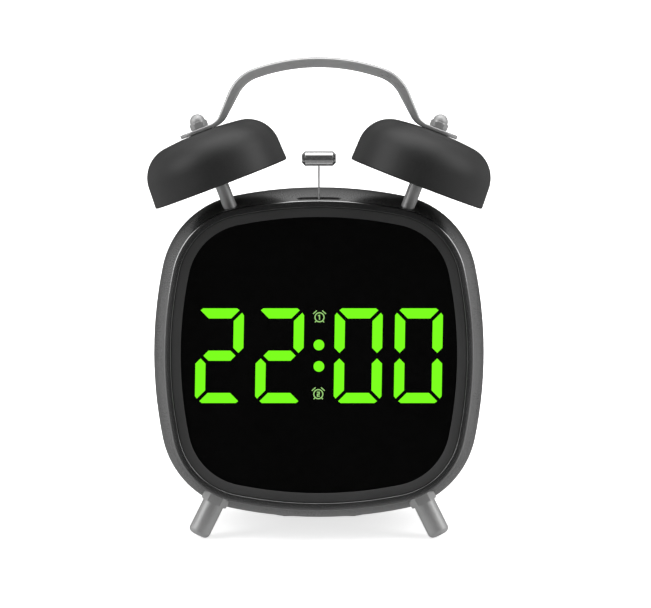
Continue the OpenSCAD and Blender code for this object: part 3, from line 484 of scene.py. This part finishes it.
SATIN = finish_material("satin_nickel", grey(0.3), grey(0.38), size=0.16, rough=(0.42, 0.52), metallic=0.6,
                        bump=0.005, stretch=TURNED, grain=True)
STRAP = finish_material("brushed_nickel", grey(0.34), grey(0.42), size=0.14, rough=(0.26, 0.38), metallic=0.6,
                        bump=0.005, stretch=LENGTHWISE, grain=True)
CHROME = finish_material("polished_chrome", grey(0.6), grey(0.68), size=0.4, rough=(0.06, 0.12),
                         metallic=0.93, bump=0.001, stretch=RINGED, grain=True)
WIRE = finish_material("spring_wire", grey(0.5), grey(0.6), size=0.1, rough=(0.3, 0.45), metallic=0.5,
                       bump=0.002)
ZINC = finish_material("bright_zinc", (0.55, 0.57, 0.62), (0.68, 0.7, 0.72), size=0.5, rough=(0.22, 0.4),
                       metallic=1.0, bump=0.004)
IRON = finish_material("soft_iron", grey(0.16), grey(0.24), size=0.3, rough=(0.35, 0.5), metallic=1.0,
                       bump=0.01)
ABS = finish_material("back_textured", grey(0.02), grey(0.034), size=0.32, rough=(0.5, 0.66), bump=0.035)
MOULDED = finish_material("moulded_black", grey(0.016), grey(0.026), size=0.3, rough=(0.4, 0.55), bump=0.01)
KEYS = finish_material("button_satin", grey(0.24), grey(0.3), size=0.22, rough=(0.34, 0.46), bump=0.006)
PALE = finish_material("switch_satin", grey(0.5), grey(0.58), size=0.22, rough=(0.34, 0.46), bump=0.006)
RUBBER = finish_material("soft_rubber", grey(0.014), grey(0.024), size=0.22, rough=(0.68, 0.85), bump=0.02)
BOARD = finish_material("circuit_board", (0.008, 0.07, 0.025), (0.015, 0.12, 0.045), size=1.2,
                        rough=(0.25, 0.4), bump=0.01, speck=((0.45, 0.3, 0.08), 2.4, 0.7))
COPPER = finish_material("copper_winding", (0.28, 0.08, 0.02), (0.52, 0.19, 0.06), size=0.3,
                         rough=(0.2, 0.35), metallic=0.8, bump=0.03, stretch=(3, 0.2, 0.2))
CELL = finish_material("cell_sleeve", (0.3, 0.17, 0.03), (0.42, 0.26, 0.05), size=0.8, rough=(0.18, 0.3),
                       metallic=0.3, bump=0.003)


def dress(piece, material, body, slot, *nodes):
    """Gives a piece its finish and its body, and hides the CAD nodes that it stands for; the slot argument is
    not used.
    """
    piece.data.materials.clear()
    piece.data.materials.append(material)
    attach(piece, body)
    if nodes:
        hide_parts(*nodes)
    return piece


def dress_node(name, material):
    """Gives a carried-over CAD node its finish."""
    mesh = frame["nodes"][name].data
    mesh.materials.clear()
    mesh.materials.append(material)


# ---------- face ----------

def make_bezel():
    flange = OUTER_BAND + 3
    seat_y = LENS_Y + LENS_T
    profile = fillet([
        (0, BEZEL_T, 0.15), (0, OUTER_BAND * tan(BAND_SLOPE), BEZEL_ROUND), (-OUTER_BAND, 0, 0.2),
        (-OUTER_BAND, seat_y, 0), (-flange, seat_y, 0), (-flange, BEZEL_T, 0)], 8)
    return dress(new_piece("bezel", sweep(profile)), BEZEL, "case", "bezel_paint", "front_bezel")


def make_ring():
    front = 0.5
    lip = 0.5
    outside = OUTER_BAND + 0.03
    edge = OUTER_BAND + INNER_BAND
    seat = OUTER_BAND + 1.8
    back = LENS_Y + LENS_T
    profile = fillet([
        (-outside, back, 0), (-outside, front, 0.3), (-edge, LENS_Y - lip, 0.2),
        (-edge, LENS_Y, 0), (-seat, LENS_Y, 0), (-seat, back, 0)], 5)
    return dress(new_piece("window_ring", sweep(profile)), RING, "case", "dark_ring", "inner_bezel_ring")


# ---------- case ----------

CASE_MID = (CASE_Y0 + CASE_Y1) / 2
SWELL_RISE = CASE_SWELL + CASE_INSET
SWELL_R = ((CASE_Y1 - CASE_Y0) ** 2 / 4 + SWELL_RISE ** 2) / (2 * SWELL_RISE)


def skin(y, depth=0.0):
    """The barrel's offset from the bezel's edge at depth y, or that of its inside."""
    return sqrt((SWELL_R - depth) ** 2 - (y - CASE_MID) ** 2) - SWELL_R + CASE_SWELL


PAD_LOW, PAD_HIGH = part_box("rear_pad")
PAD_W = (PAD_HIGH.x - PAD_LOW.x) / MM
PAD_D = 7.8
PAD_H = 5.6


def on_pad():
    """The middle of the pad's underside; the drawing's Z points up from the table."""
    middle_y = PAD_LOW.y + PAD_D / 2 * MM
    return STAND.inverted() @ Matrix.Translation((0, middle_y, 0)) @ Matrix.Scale(MM, 4)


def drum(r, low, high, steps=48):
    """A plain cylinder, for cuts and stems."""
    return lathe([(0, low), (r, low), (r, high), (0, high)], steps)


def make_case():
    """The barrel, with its front flange, the hammer's slot, and seats for the pad, posts and feet."""
    flange_t, flange_w = 2, 5.6
    steps = 26
    flange_y = CASE_Y0 + flange_t
    ys = [CASE_Y0 + (CASE_Y1 - CASE_Y0) * i / steps for i in range(steps + 1)]
    outer = [Vector((skin(y), y)) for y in ys]
    inner_ys = [max(y, flange_y) for y in reversed(ys[2:])]
    inner = [Vector((skin(y, CASE_WALL), y)) for y in inner_ys]
    profile = outer + inner + [Vector((-flange_w, flange_y)), Vector((-flange_w, CASE_Y0))]
    slot_l, slot_w = 15.6, 1.8
    slot_edge, pad_gap = 0.5, 0.2
    below, above = 14, 6
    slot_place = at(0, WIRE_Y, FACE_HALF + skin(WIRE_Y))
    seat_r = POST_R + 0.2
    collar_r = hexagon_r(COLLAR_AF, 0) + 0.15
    cutters = [
        placed(prism(bar_outline(slot_l, slot_w), -below, above), slot_place),
        placed(prism(bar_outline(slot_l + slot_edge, slot_w + slot_edge), -0.2, above), slot_place),
        placed(prism(bar_outline(PAD_W + pad_gap, PAD_D + pad_gap), -2, PAD_H), on_pad())]
    for side in (-1, 1):
        cutters.append(placed(drum(seat_r, -9, 8), on_post(side)))
        cutters.append(placed(drum(collar_r, -2, 8), on_foot(side)))
    bm = carved(sweep(profile), cutters)
    return dress(new_piece("case_shell", bm, sharp=35), GUNMETAL, "case", "gunmetal_paint", "case_body")


def make_pad():
    bm = prism(bar_outline(PAD_W, PAD_D), 0, PAD_H, bevel=0.6)
    return dress(new_piece("pad", bm, on_pad()), RUBBER, "case", "soft_rubber", "rear_pad")


# ---------- bells, posts and handle ----------

SKIRT_LEAN = radians(2.2)
BEND_R = 12
CROWN_SLOPE = radians(7)
# The skirt takes the height that the shoulder and the domed crown leave
CROWN_RISE = tan(CROWN_SLOPE / 2)
BEND_RISE = BEND_R * (cos(CROWN_SLOPE) - sin(SKIRT_LEAN))
BEND_RUN = BEND_R * (cos(SKIRT_LEAN) - sin(CROWN_SLOPE))
SKIRT_H = (BELL_H - BEND_RISE - CROWN_RISE * (BELL_R - BEND_RUN)) / (1 - CROWN_RISE * tan(SKIRT_LEAN))
SKIRT_TOP_R = BELL_R - SKIRT_H * tan(SKIRT_LEAN)
BEND_C = (SKIRT_TOP_R - BEND_R * cos(SKIRT_LEAN), SKIRT_H - BEND_R * sin(SKIRT_LEAN))
CROWN_R = (BEND_C[0] + BEND_R * sin(CROWN_SLOPE)) / sin(CROWN_SLOPE)
CROWN_C = BEND_C[1] - (CROWN_R - BEND_R) * cos(CROWN_SLOPE)


def bell_profile():
    """From the middle of the crown down the outside, round the rim and back up the lining."""
    rim_r = BELL_WALL / 2
    outside = arc((0, CROWN_C), CROWN_R, pi / 2, pi / 2 - CROWN_SLOPE, 10)
    outside += arc(BEND_C, BEND_R, pi / 2 - CROWN_SLOPE, SKIRT_LEAN, 20)[1:]
    skirt = [Vector((BELL_R - h * tan(SKIRT_LEAN), h)) for h in (6, 3.5, 2, 1.2)]
    rim = arc((BELL_R - rim_r - 0.02, rim_r), rim_r, 0.15, -pi - 0.1, 10)
    lining = arc(BEND_C, BEND_R - BELL_WALL, SKIRT_LEAN, pi / 2 - CROWN_SLOPE, 14)
    lining += arc((0, CROWN_C), CROWN_R - BELL_WALL, pi / 2 - CROWN_SLOPE, pi / 2, 8)[1:]
    return outside + skirt + rim + lining


def make_bell(side, name):
    bm = lathe(bell_profile(), 160)
    piece = new_piece(name + "_shell", bm, on_post(side, BELL_LIFT), sharp=50)
    return dress(piece, BELL, "case", "bell_paint", name)


def make_post(side, name):
    washer_t, stud_r, stud_l, sunk = 0.8, 1.5, 4, 0.4
    top = BELL_LIFT + BELL_H - BELL_WALL - washer_t
    profile = [(0, -sunk, 0), (POST_R, -sunk, 0), (POST_R, top, 0.35), (stud_r, top, 0),
               (stud_r, top + stud_l, 0), (0, top + stud_l, 0)]
    bm = lathe(fillet(profile, 4, closed=False), 64)
    return dress(new_piece(name + "_rod", bm, on_post(side)), SATIN, "case", "satin_steel", name)


def dome_nut(side):
    """Acorn nut: hexagon with turned-down corners under a dome."""
    af, hex_h, bore_r = 5.8, 2.4, 1.6
    base = BELL_LIFT + BELL_H + TAB_T + 0.02
    corner = hexagon_r(af, 0)
    dome_r = af / 2 - 0.1
    dome_steps = 11
    bm = bmesh.new()
    steps = ((bore_r, 0), (corner - 0.45, 0), (corner, 0.3), (corner, hex_h - 0.35), (corner - 0.35, hex_h))
    rings = [hexagon_ring(af, r, h) for r, h in steps]
    for k in range(dome_steps + 1):
        a = k * (pi / 2 - 0.08) / dome_steps
        rings.append(hexagon_ring(af, dome_r * cos(a), hex_h + 0.1 + dome_r * 1.02 * sin(a)))
    rings_to_bmesh(bm, rings, caps=True)
    return placed(bm, on_post(side, base))


def make_dome_nuts():
    bm = merged(dome_nut(-1), dome_nut(1))
    return dress(new_piece("acorn_nuts", bm, sharp=28), SATIN, "case", "satin_steel", "dome_nuts")


# The handle's centre line: each entry is a point, its heading and the strap's thickness

def run(p, a, length, t0, t1, n):
    return [(p + length * i / n * direction(a), a, t0 + (t1 - t0) * i / n) for i in range(n + 1)]


def turn(p, a0, a1, r, t0, t1, n):
    k = 1 if a1 > a0 else -1
    out = []
    for i in range(1, n + 1):
        a = a0 + (a1 - a0) * i / n
        out.append((p + k * r * Vector((sin(a) - sin(a0), cos(a0) - cos(a))), a, t0 + (t1 - t0) * i / n))
    return out


def handle_path():
    tab_out, tab_run, ankle_r, arch_r, shoulder_r, leg_run = 7.8, 12.4, 7, 70, 14.4, 9
    ankle_t = 0.75 * LEG_T
    leg_a = radians(65)
    up = BELL_LIFT + BELL_H + TAB_T / 2
    tab = Vector((-POST_X - up * sin(BELL_TILT) - tab_out * cos(BELL_TILT),
                  POST_Z + up * cos(BELL_TILT) - tab_out * sin(BELL_TILT)))
    path = run(tab, BELL_TILT, tab_run, TAB_T, TAB_T, 6)
    path += turn(path[-1][0], BELL_TILT, leg_a, ankle_r, TAB_T, ankle_t, 12)
    path += run(path[-1][0], leg_a, leg_run, ankle_t, LEG_T, 5)[1:]
    end = path[-1][0]
    arch_a = asin((-end.x - shoulder_r * sin(leg_a)) / (arch_r - shoulder_r))
    path += turn(end, leg_a, arch_a, shoulder_r, LEG_T, GRIP_T, 16)
    path += turn(path[-1][0], arch_a, 0, arch_r, GRIP_T, GRIP_T, 22)
    return path[:-1] + [(Vector((-p.x, p.y)), -a, t) for p, a, t in reversed(path)]


def make_handle():
    """A strap with rounded edges that follows the path; its two tabs end in half rounds."""
    path = handle_path()
    bm = bmesh.new()
    layer = bm.verts.layers.float_vector.new("along")
    lengths = [0.0]
    for (p, _, _), (q, _, _) in zip(path, path[1:]):
        lengths.append(lengths[-1] + (q - p).length)
    total = lengths[-1]
    tab_r = STRAP_W / 2
    rings, grains = [], []
    for (p, a, t), s in zip(path, lengths):
        near = min(s, total - s)
        half = STRAP_W / 2
        if near < tab_r:
            half = max(sqrt(max(tab_r ** 2 - (tab_r - near) ** 2, 0)), 0.9)
        r = min(0.95, t * 0.26)
        section = box_outline(2 * half, t, min(r, half * 0.45), 5)
        normal = Vector((-sin(a), cos(a)))
        rings.append([Vector(((p + normal * v).x, POST_Y + u, (p + normal * v).y)) for u, v in section])
        grains.append([(s, u, v) for u, v in section])
    rows = rings_to_bmesh(bm, rings, caps=True)
    for row, values in zip(rows, grains):
        for v, g in zip(row, values):
            v[layer] = g
    piece = new_piece("handle_strap", bm, sharp=40)
    along = piece.data.attributes["along"]
    flat = [0.0] * (3 * len(piece.data.vertices))
    along.data.foreach_get("vector", flat)
    piece.data.attributes["grain"].data.foreach_set("vector", flat)
    return dress(piece, STRAP, "case", "handle_steel", "carry_handle")


# ---------- hammer ----------

def make_hammer():
    """A chromed slug with chamfered ends on a thin spring wire."""
    centre = (HAMMER_LOW + HAMMER_HIGH) / 2
    half = (HAMMER_HIGH.x - HAMMER_LOW.x) / 2
    r = (HAMMER_HIGH.y - HAMMER_LOW.y) / 2
    chamfer, edge = 1.2, 0.15
    profile = fillet([
        (0, -half, 0), (r - chamfer, -half, edge), (r, chamfer - half, edge), (r, half - chamfer, edge),
        (r - chamfer, half, edge), (0, half, 0)], 4, closed=False)
    head = new_piece("hammer_slug", lathe(profile, 96), at(*centre) @ TO_SIDE, sharp=60)
    dress(head, CHROME, "hammer", "polished_chrome", "hammer_head")
    wire_r = (WIRE_HIGH.x - WIRE_LOW.x) / 2
    rod = drum(wire_r, WIRE_LOW.z, centre.z, 24)
    wire = new_piece("hammer_rod", rod, at(0, WIRE_Y, 0))
    dress(wire, WIRE, "hammer", "spring_wire", "hammer_wire")


# ---------- feet ----------

def make_foot(side, name):
    """A hexagonal collar and the round peg that goes on from it, rounded at its tip."""
    corner = hexagon_r(COLLAR_AF, 0)
    peg_low = COLLAR_H - 0.5
    collar = bmesh.new()
    steps = ((corner, 0), (corner, COLLAR_H - 0.3), (corner - 0.4, COLLAR_H))
    rings_to_bmesh(collar, [hexagon_ring(COLLAR_AF, r, h) for r, h in steps], caps=True)
    profile = [(0, peg_low, 0), (FOOT_R, peg_low, 0), (FOOT_R, FOOT_L, 2), (0, FOOT_L, 0)]
    peg = lathe(fillet(profile, 10, closed=False), 96)
    piece = new_piece(name + "_peg", merged(collar, peg), on_foot(side), sharp=28)
    return dress(piece, SATIN, "case", "satin_steel", name)


# ---------- back ----------

DOOR_LOW, DOOR_HIGH = face_box("battery_door")
HINGE = next(j for j in frame["joints"] if j["name"] == "battery_door_hinge")
hinge_at = STAND.inverted() @ Vector(HINGE["pos_m"])
DOOR_T = 2.6
DOOR_GAP = 0.4
PIN_L = 1.2
DOOR_W = DOOR_HIGH.x - DOOR_LOW.x - 2 * PIN_L
BAY_LOW, BAY_HIGH = face_box("batteries")
BUTTONS = ["time_button", "first_alarm_button", "second_alarm_button", "up_button", "down_button"]
SCREW_AT = face_box("cover_screws")[1].x - 2
SCREW_SUNK = 1.6
CORNERS = ((-1, -1), (-1, 1), (1, -1), (1, 1))
# A button's flange behind the cover is this much wider than its cap, and the stem behind it is this thick
FLANGE_W = 1
FLANGE_T = 1.2
STEM_R = 1.5
PLATE_Y = BACK_Y - BACK_T - 0.1


def centre_of(name):
    low, high = face_box(name)
    return (low + high) / 2, high - low


def countersunk(r, chamfer, y0):
    """A round cutter with a small chamfer at the back face."""
    past = 1
    return lathe([(0, y0), (r, y0), (r, BACK_Y - chamfer), (r + chamfer + past, BACK_Y + past),
                  (0, BACK_Y + past)], 48)


def make_back():
    plate_y = BACK_Y - BACK_T
    rear_edge = CASE_INSET + BACK_ROUND
    outer = arc((-rear_edge, CASE_Y1), BACK_ROUND, 0, pi / 2, 16)
    profile = [Vector((-rear_edge, plate_y)), Vector((-CASE_INSET - CASE_WALL, CASE_Y1 + 0.6)),
               Vector((-CASE_INSET - CASE_WALL, CASE_Y1))] + outer
    door_h = DOOR_HIGH.z - DOOR_LOW.z
    door_z = (DOOR_LOW.z + DOOR_HIGH.z) / 2
    door_floor = -DOOR_T - 0.3
    bay_w, bay_h = BAY_HIGH.x - BAY_LOW.x + 6, BAY_HIGH.z - BAY_LOW.z + 1
    bay_z = (BAY_LOW.z + BAY_HIGH.z) / 2
    bay_corner, bay_wall = 1.5, 1.2
    bay_place = facing_back(0, BACK_Y, bay_z)
    through, past = -6, 1
    cutters = [
        placed(prism(box_outline(DOOR_W + 2 * DOOR_GAP, door_h + 2 * DOOR_GAP, 1.2), door_floor, past),
               facing_back(0, BACK_Y, door_z)),
        placed(prism(box_outline(bay_w, bay_h, bay_corner), -8, past), bay_place)]
    for name in BUTTONS:
        centre, size = centre_of(name)
        hole_r = size.x / 2 - FLANGE_W + 0.3
        cutters.append(placed(countersunk(hole_r, 0.3, plate_y - 1), facing_back(centre.x, 0, centre.z)))
    slots = [("switch_body", (10.6, 3.6))]
    for name, extra in (("snooze_button", -1.4), ("power_inlet", 0.5)):
        size = centre_of(name)[1]
        slots.append((name, (size.x + extra, size.z + extra)))
    for name, (length, width) in slots:
        centre = centre_of(name)[0]
        cutters.append(placed(prism(bar_outline(length, width), through, past),
                              facing_back(centre.x, BACK_Y, centre.z)))
    for sx, sz in CORNERS:
        hole = lathe([(0, -SCREW_SUNK), (2.3, -SCREW_SUNK), (2.3, -0.25), (3.0, 0.5), (0, 0.5)], 48)
        cutters.append(placed(hole, facing_back(sx * SCREW_AT, BACK_Y, sz * SCREW_AT)))
    shell = carved(sweep(profile, caps=True), cutters)
    back = new_piece("back_shell", shell, sharp=35)
    weighted(back)
    dress(back, ABS, "case", "back_plastic", "back_cover")
    depth = BACK_Y - BAY_LOW.y + 1.2
    bay = bmesh.new()
    inner = box_outline(bay_w, bay_h, bay_corner)
    outer = box_outline(bay_w + 2 * bay_wall, bay_h + 2 * bay_wall, bay_corner + 1)
    levels = [(outer, door_floor), (outer, -depth - bay_wall), (inner, -depth), (inner, door_floor)]
    rows = [[bay.verts.new((x, y, h)) for x, y in o] for o, h in levels]
    n = len(inner)
    for a, b in ((rows[0], rows[1]), (rows[2], rows[3]), (rows[3], rows[0])):
        for i in range(n):
            k = (i + 1) % n
            bay.faces.new((a[i], a[k], b[k], b[i]))
    bay.faces.new(rows[1])
    bay.faces.new(rows[2])
    tub = new_piece("battery_tub", bay, bay_place)
    dress(tub, MOULDED, "case", "back_plastic")


def stem_of(low):
    """The round stem from a button's flange to the switch behind it."""
    return drum(STEM_R, low.y - PLATE_Y, 0.1 - FLANGE_T, 32)


def make_buttons():
    """Round caps with a rounded edge and a shallow hollow for the fingertip."""
    edge = 0.6
    for name in BUTTONS:
        low, high = face_box(name)
        r = (high.x - low.x) / 2 - FLANGE_W
        centre = (low + high) / 2
        top = high.y - PLATE_Y
        profile = [(0, -FLANGE_T), (r + FLANGE_W, -FLANGE_T), (r + FLANGE_W, 0), (r, 0)]
        profile += [(p.x, p.y) for p in arc((r - edge, top - edge), edge, 0, pi / 2, 6)]
        profile += [(r - 1.0, top - 0.08), (r - 1.6, top - 0.22), (0, top - 0.3)]
        bm = merged(lathe(profile, 64), stem_of(low))
        piece = new_piece(name + "_cap", bm, facing_back(centre.x, PLATE_Y, centre.z))
        dress(piece, KEYS, name, "button_plastic", name)


def make_snooze():
    """A long bar with fine ribs across it."""
    low, high = face_box("snooze_button")
    centre = (low + high) / 2
    length, width = high.x - low.x - 2 * FLANGE_W, high.z - low.z - 2 * FLANGE_W
    top = high.y - PLATE_Y
    rib_w, rib_h, rib_pitch = 0.5, 0.22, 2
    flange = prism(bar_outline(length + 2 * FLANGE_W, width + 2 * FLANGE_W), -FLANGE_T, 0)
    cap = prism(bar_outline(length, width), -0.05, top, bevel=0.7, steps=4)
    ribs = [placed(prism(box_outline(rib_w, width - 3.4, 0.2), 0, rib_h, bevel=0.08, steps=2),
                   at(i * rib_pitch, 0, top - 0.02)) for i in range(-3, 4)]
    bm = merged(flange, cap, stem_of(low), *ribs)
    piece = new_piece("snooze_bar", bm, facing_back(centre.x, PLATE_Y, centre.z))
    dress(weighted(piece), KEYS, "snooze_button", "button_plastic", "snooze_button")


def make_switch():
    """A sliding knob with four grip ridges."""
    low, high = face_box("alarm_switch")
    centre = (low + high) / 2
    width, height, depth = high.x - low.x, high.z - low.z, high.y - low.y
    ridge_w, ridge_h = 0.7, 0.5
    knob = prism(box_outline(width, height, 0.4), 0, depth - 0.4, bevel=0.2)
    grips = [placed(prism(box_outline(ridge_w, height - 0.3, 0.2), 0, ridge_h, bevel=0.15, steps=2),
                    at(x, 0, depth - ridge_h)) for x in (-1.6, -0.55, 0.55, 1.6)]
    bm = merged(knob, *grips)
    piece = new_piece("switch_knob", bm, facing_back(centre.x, low.y, centre.z))
    dress(weighted(piece), PALE, "alarm_switch", "button_plastic", "alarm_switch")


def make_door():
    """A plate with a turned hinge edge, grip ridges and a thumb hollow near its free edge."""
    half = DOOR_W / 2
    r, pin_r = DOOR_T / 2, 0.75
    low = hinge_at.z
    height = DOOR_HIGH.z - low
    thumb_from_top, ridges_from_top, ridge_pitch = 8.5, 19, 1.8

    def rod(radius, reach, steps):
        corners = [(0, -reach, 0), (radius, -reach, 0.2), (radius, reach, 0.2), (0, reach, 0)]
        return placed(lathe(fillet(corners, 3, closed=False), steps), at(0, BACK_Y - r, low) @ TO_SIDE)

    plate = prism(fillet([(-half, 0, 0), (half, 0, 0), (half, height, 1.0), (-half, height, 1.0)], 5),
                  -DOOR_T, 0, bevel=0.3)
    # The plate is drawn flat: its Y becomes the height above the hinge, its Z the depth
    turned = Matrix(((1, 0, 0, 0), (0, 0, 1, BACK_Y), (0, 1, 0, low), (0, 0, 0, 1)))
    thumb = lathe([(0, -0.9), (5, -0.5), (6.5, 0.0), (7.2, 1), (0, 1)], 64)
    cut = placed(thumb, turned @ at(0, height - thumb_from_top, 0))
    body = carved(placed(plate, turned), [cut])
    ridges = [placed(prism(bar_outline(14, 0.8, 6), 0, 0.35, bevel=0.12, steps=2),
                     turned @ at(0, height - ridges_from_top + ridge_pitch * i, -0.3)) for i in range(4)]
    bm = merged(body, rod(r, half, 40), rod(pin_r, half + PIN_L, 32), *ridges)
    piece = new_piece("door_plate", bm, sharp=35)
    dress(weighted(piece), ABS, "battery_door", "back_plastic", "battery_door")


def make_screws():
    """Pan heads with a cross recess."""
    parts = []
    turn = 0.4
    for sx, sz in CORNERS:
        head = lathe([(0, 0), (1.9, 0), (2.0, 0.2), (1.9, 0.75), (1.5, 1.12), (0.8, 1.28), (0, 1.3)], 40)
        cross = [placed(prism(box_outline(2.3, 0.5, 0.05), 0.6, 2), Matrix.Rotation(q, 4, "Z"))
                 for q in (turn, turn + pi / 2)]
        place = facing_back(sx * SCREW_AT, BACK_Y - SCREW_SUNK, sz * SCREW_AT)
        parts.append(placed(carved(head, cross), place))
    piece = new_piece("cover_screw_heads", merged(*parts), sharp=30)
    dress(piece, ZINC, "case", "zinc_steel", "cover_screws")


make_bezel()
make_ring()
make_case()
make_pad()
for side, word in ((-1, "left"), (1, "right")):
    make_bell(side, word + "_bell")
    make_post(side, word + "_bell_post")
    make_foot(side, word + "_foot")
make_dome_nuts()
make_handle()
make_hammer()
make_back()
make_buttons()
make_snooze()
make_switch()
make_door()
make_screws()

CARRIED = {
    "display_lens": LENS, "lit_segments": DIGIT, "alarm_icons": ICON, "led_housing": MOULDED,
    "display_board": BOARD, "display_chips": MOULDED, "bell_washers": RUBBER, "post_lock_nuts": ZINC,
    "hammer_lever": ZINC, "striker_bracket": ZINC, "striker_core": IRON, "striker_coil": COPPER,
    "hammer_spring": WIRE, "bracket_screws": ZINC, "foot_lock_nuts": ZINC, "switch_body": ZINC,
    "button_board": BOARD, "tact_switches": MOULDED, "power_inlet": ZINC, "batteries": CELL,
    "battery_contacts": ZINC, "display_screws": ZINC, "button_board_screws": ZINC}
for name, material in CARRIED.items():
    dress_node(name, material)


# ---------- room, light and camera ----------

def make_floor():
    bm = bmesh.new()
    bmesh.ops.create_grid(bm, x_segments=1, y_segments=1, size=9.0)
    mesh = bpy.data.meshes.new("floor")
    bm.to_mesh(mesh)
    bm.free()
    floor = bpy.data.objects.new("floor", mesh)
    bpy.context.scene.collection.objects.link(floor)
    paper = finish_material("floor_paper", grey(0.84), grey(0.88), size=40, rough=(0.6, 0.8), bump=0.0,
                            cloud=600.0)
    shader = paper.node_tree.nodes["Principled BSDF"]
    shader.inputs["Specular IOR Level"].default_value = 0.1
    shader.inputs["Emission Color"].default_value = (1, 1, 1, 1)
    shader.inputs["Emission Strength"].default_value = 0.7
    mesh.materials.append(paper)
    floor.visible_glossy = False


def make_world():
    """A studio of pale panels: both sides, overhead and the table, with dark air in front and behind."""
    world = bpy.data.worlds.new("studio")
    bpy.context.scene.world = world
    world.use_nodes = True
    tree = world.node_tree
    way = node(tree, "ShaderNodeTexCoord").outputs["Generated"]
    parts = node(tree, "ShaderNodeSeparateXYZ", {"Vector": way}).outputs
    aside = maths(tree, "ABSOLUTE", parts["X"])
    sides = ramp(tree, aside, 0.3, 0.9, 0.0, 0.75)
    behind = ramp(tree, parts["Y"], -0.6, -0.2, 0.0, 1.0)
    canopy = maths(tree, "MULTIPLY", ramp(tree, parts["Z"], 0.1, 0.7, 0.0, 1.0), behind)
    table = ramp(tree, parts["Z"], -0.1, -0.4, 0.0, 0.25)
    panels = maths(tree, "MAXIMUM", maths(tree, "MAXIMUM", sides, canopy), table)
    back = tree.nodes["Background"]
    tree.links.new(mix_colour(tree, panels, grey(0.03), grey(1.0)), back.inputs["Color"])
    back.inputs["Strength"].default_value = 1.0


def area_light(name, place, target, size, power):
    data = bpy.data.lights.new(name, "AREA")
    data.shape = "RECTANGLE"
    data.size, data.size_y = size
    data.energy = power
    lamp = bpy.data.objects.new(name, data)
    bpy.context.scene.collection.objects.link(lamp)
    lamp.location = place
    lamp.rotation_mode = "QUATERNION"
    lamp.rotation_quaternion = (Vector(target) - Vector(place)).to_track_quat("-Z", "Y")


def make_lights():
    middle = (0, 0, 0.09)
    area_light("top_box", (0, 0.1, 1.5), middle, (1.6, 1.2), 16)
    area_light("left_box", (-1.3, -0.5, 0.9), middle, (0.9, 1.1), 9)
    area_light("right_box", (1.3, -0.3, 0.9), middle, (0.9, 1.1), 9)


def make_camera():
    """Long lens, a little above square-on to the leaning face, framed as the picture is."""
    above_face = radians(2.3)
    distance, view_w = 3.0, 0.2367
    aside, above = 0.0024, 0.0187
    elevation = LEAN + above_face
    back = Vector((0, -cos(elevation), sin(elevation)))
    up = Vector((0, sin(elevation), cos(elevation)))
    target = STAND @ Vector((0, 0, 0)) + Vector((aside, 0, 0)) + up * above
    data = bpy.data.cameras.new("camera")
    data.sensor_width = 36
    data.lens = data.sensor_width * distance / view_w
    data.clip_start, data.clip_end = 0.1, 60
    camera = bpy.data.objects.new("camera", data)
    bpy.context.scene.collection.objects.link(camera)
    camera.location = target + back * distance
    camera.rotation_mode = "QUATERNION"
    camera.rotation_quaternion = (-back).to_track_quat("-Z", "Y")
    bpy.context.scene.camera = camera


make_floor()
make_world()
make_lights()
make_camera()
bpy.context.scene.view_settings.view_transform = "Standard"
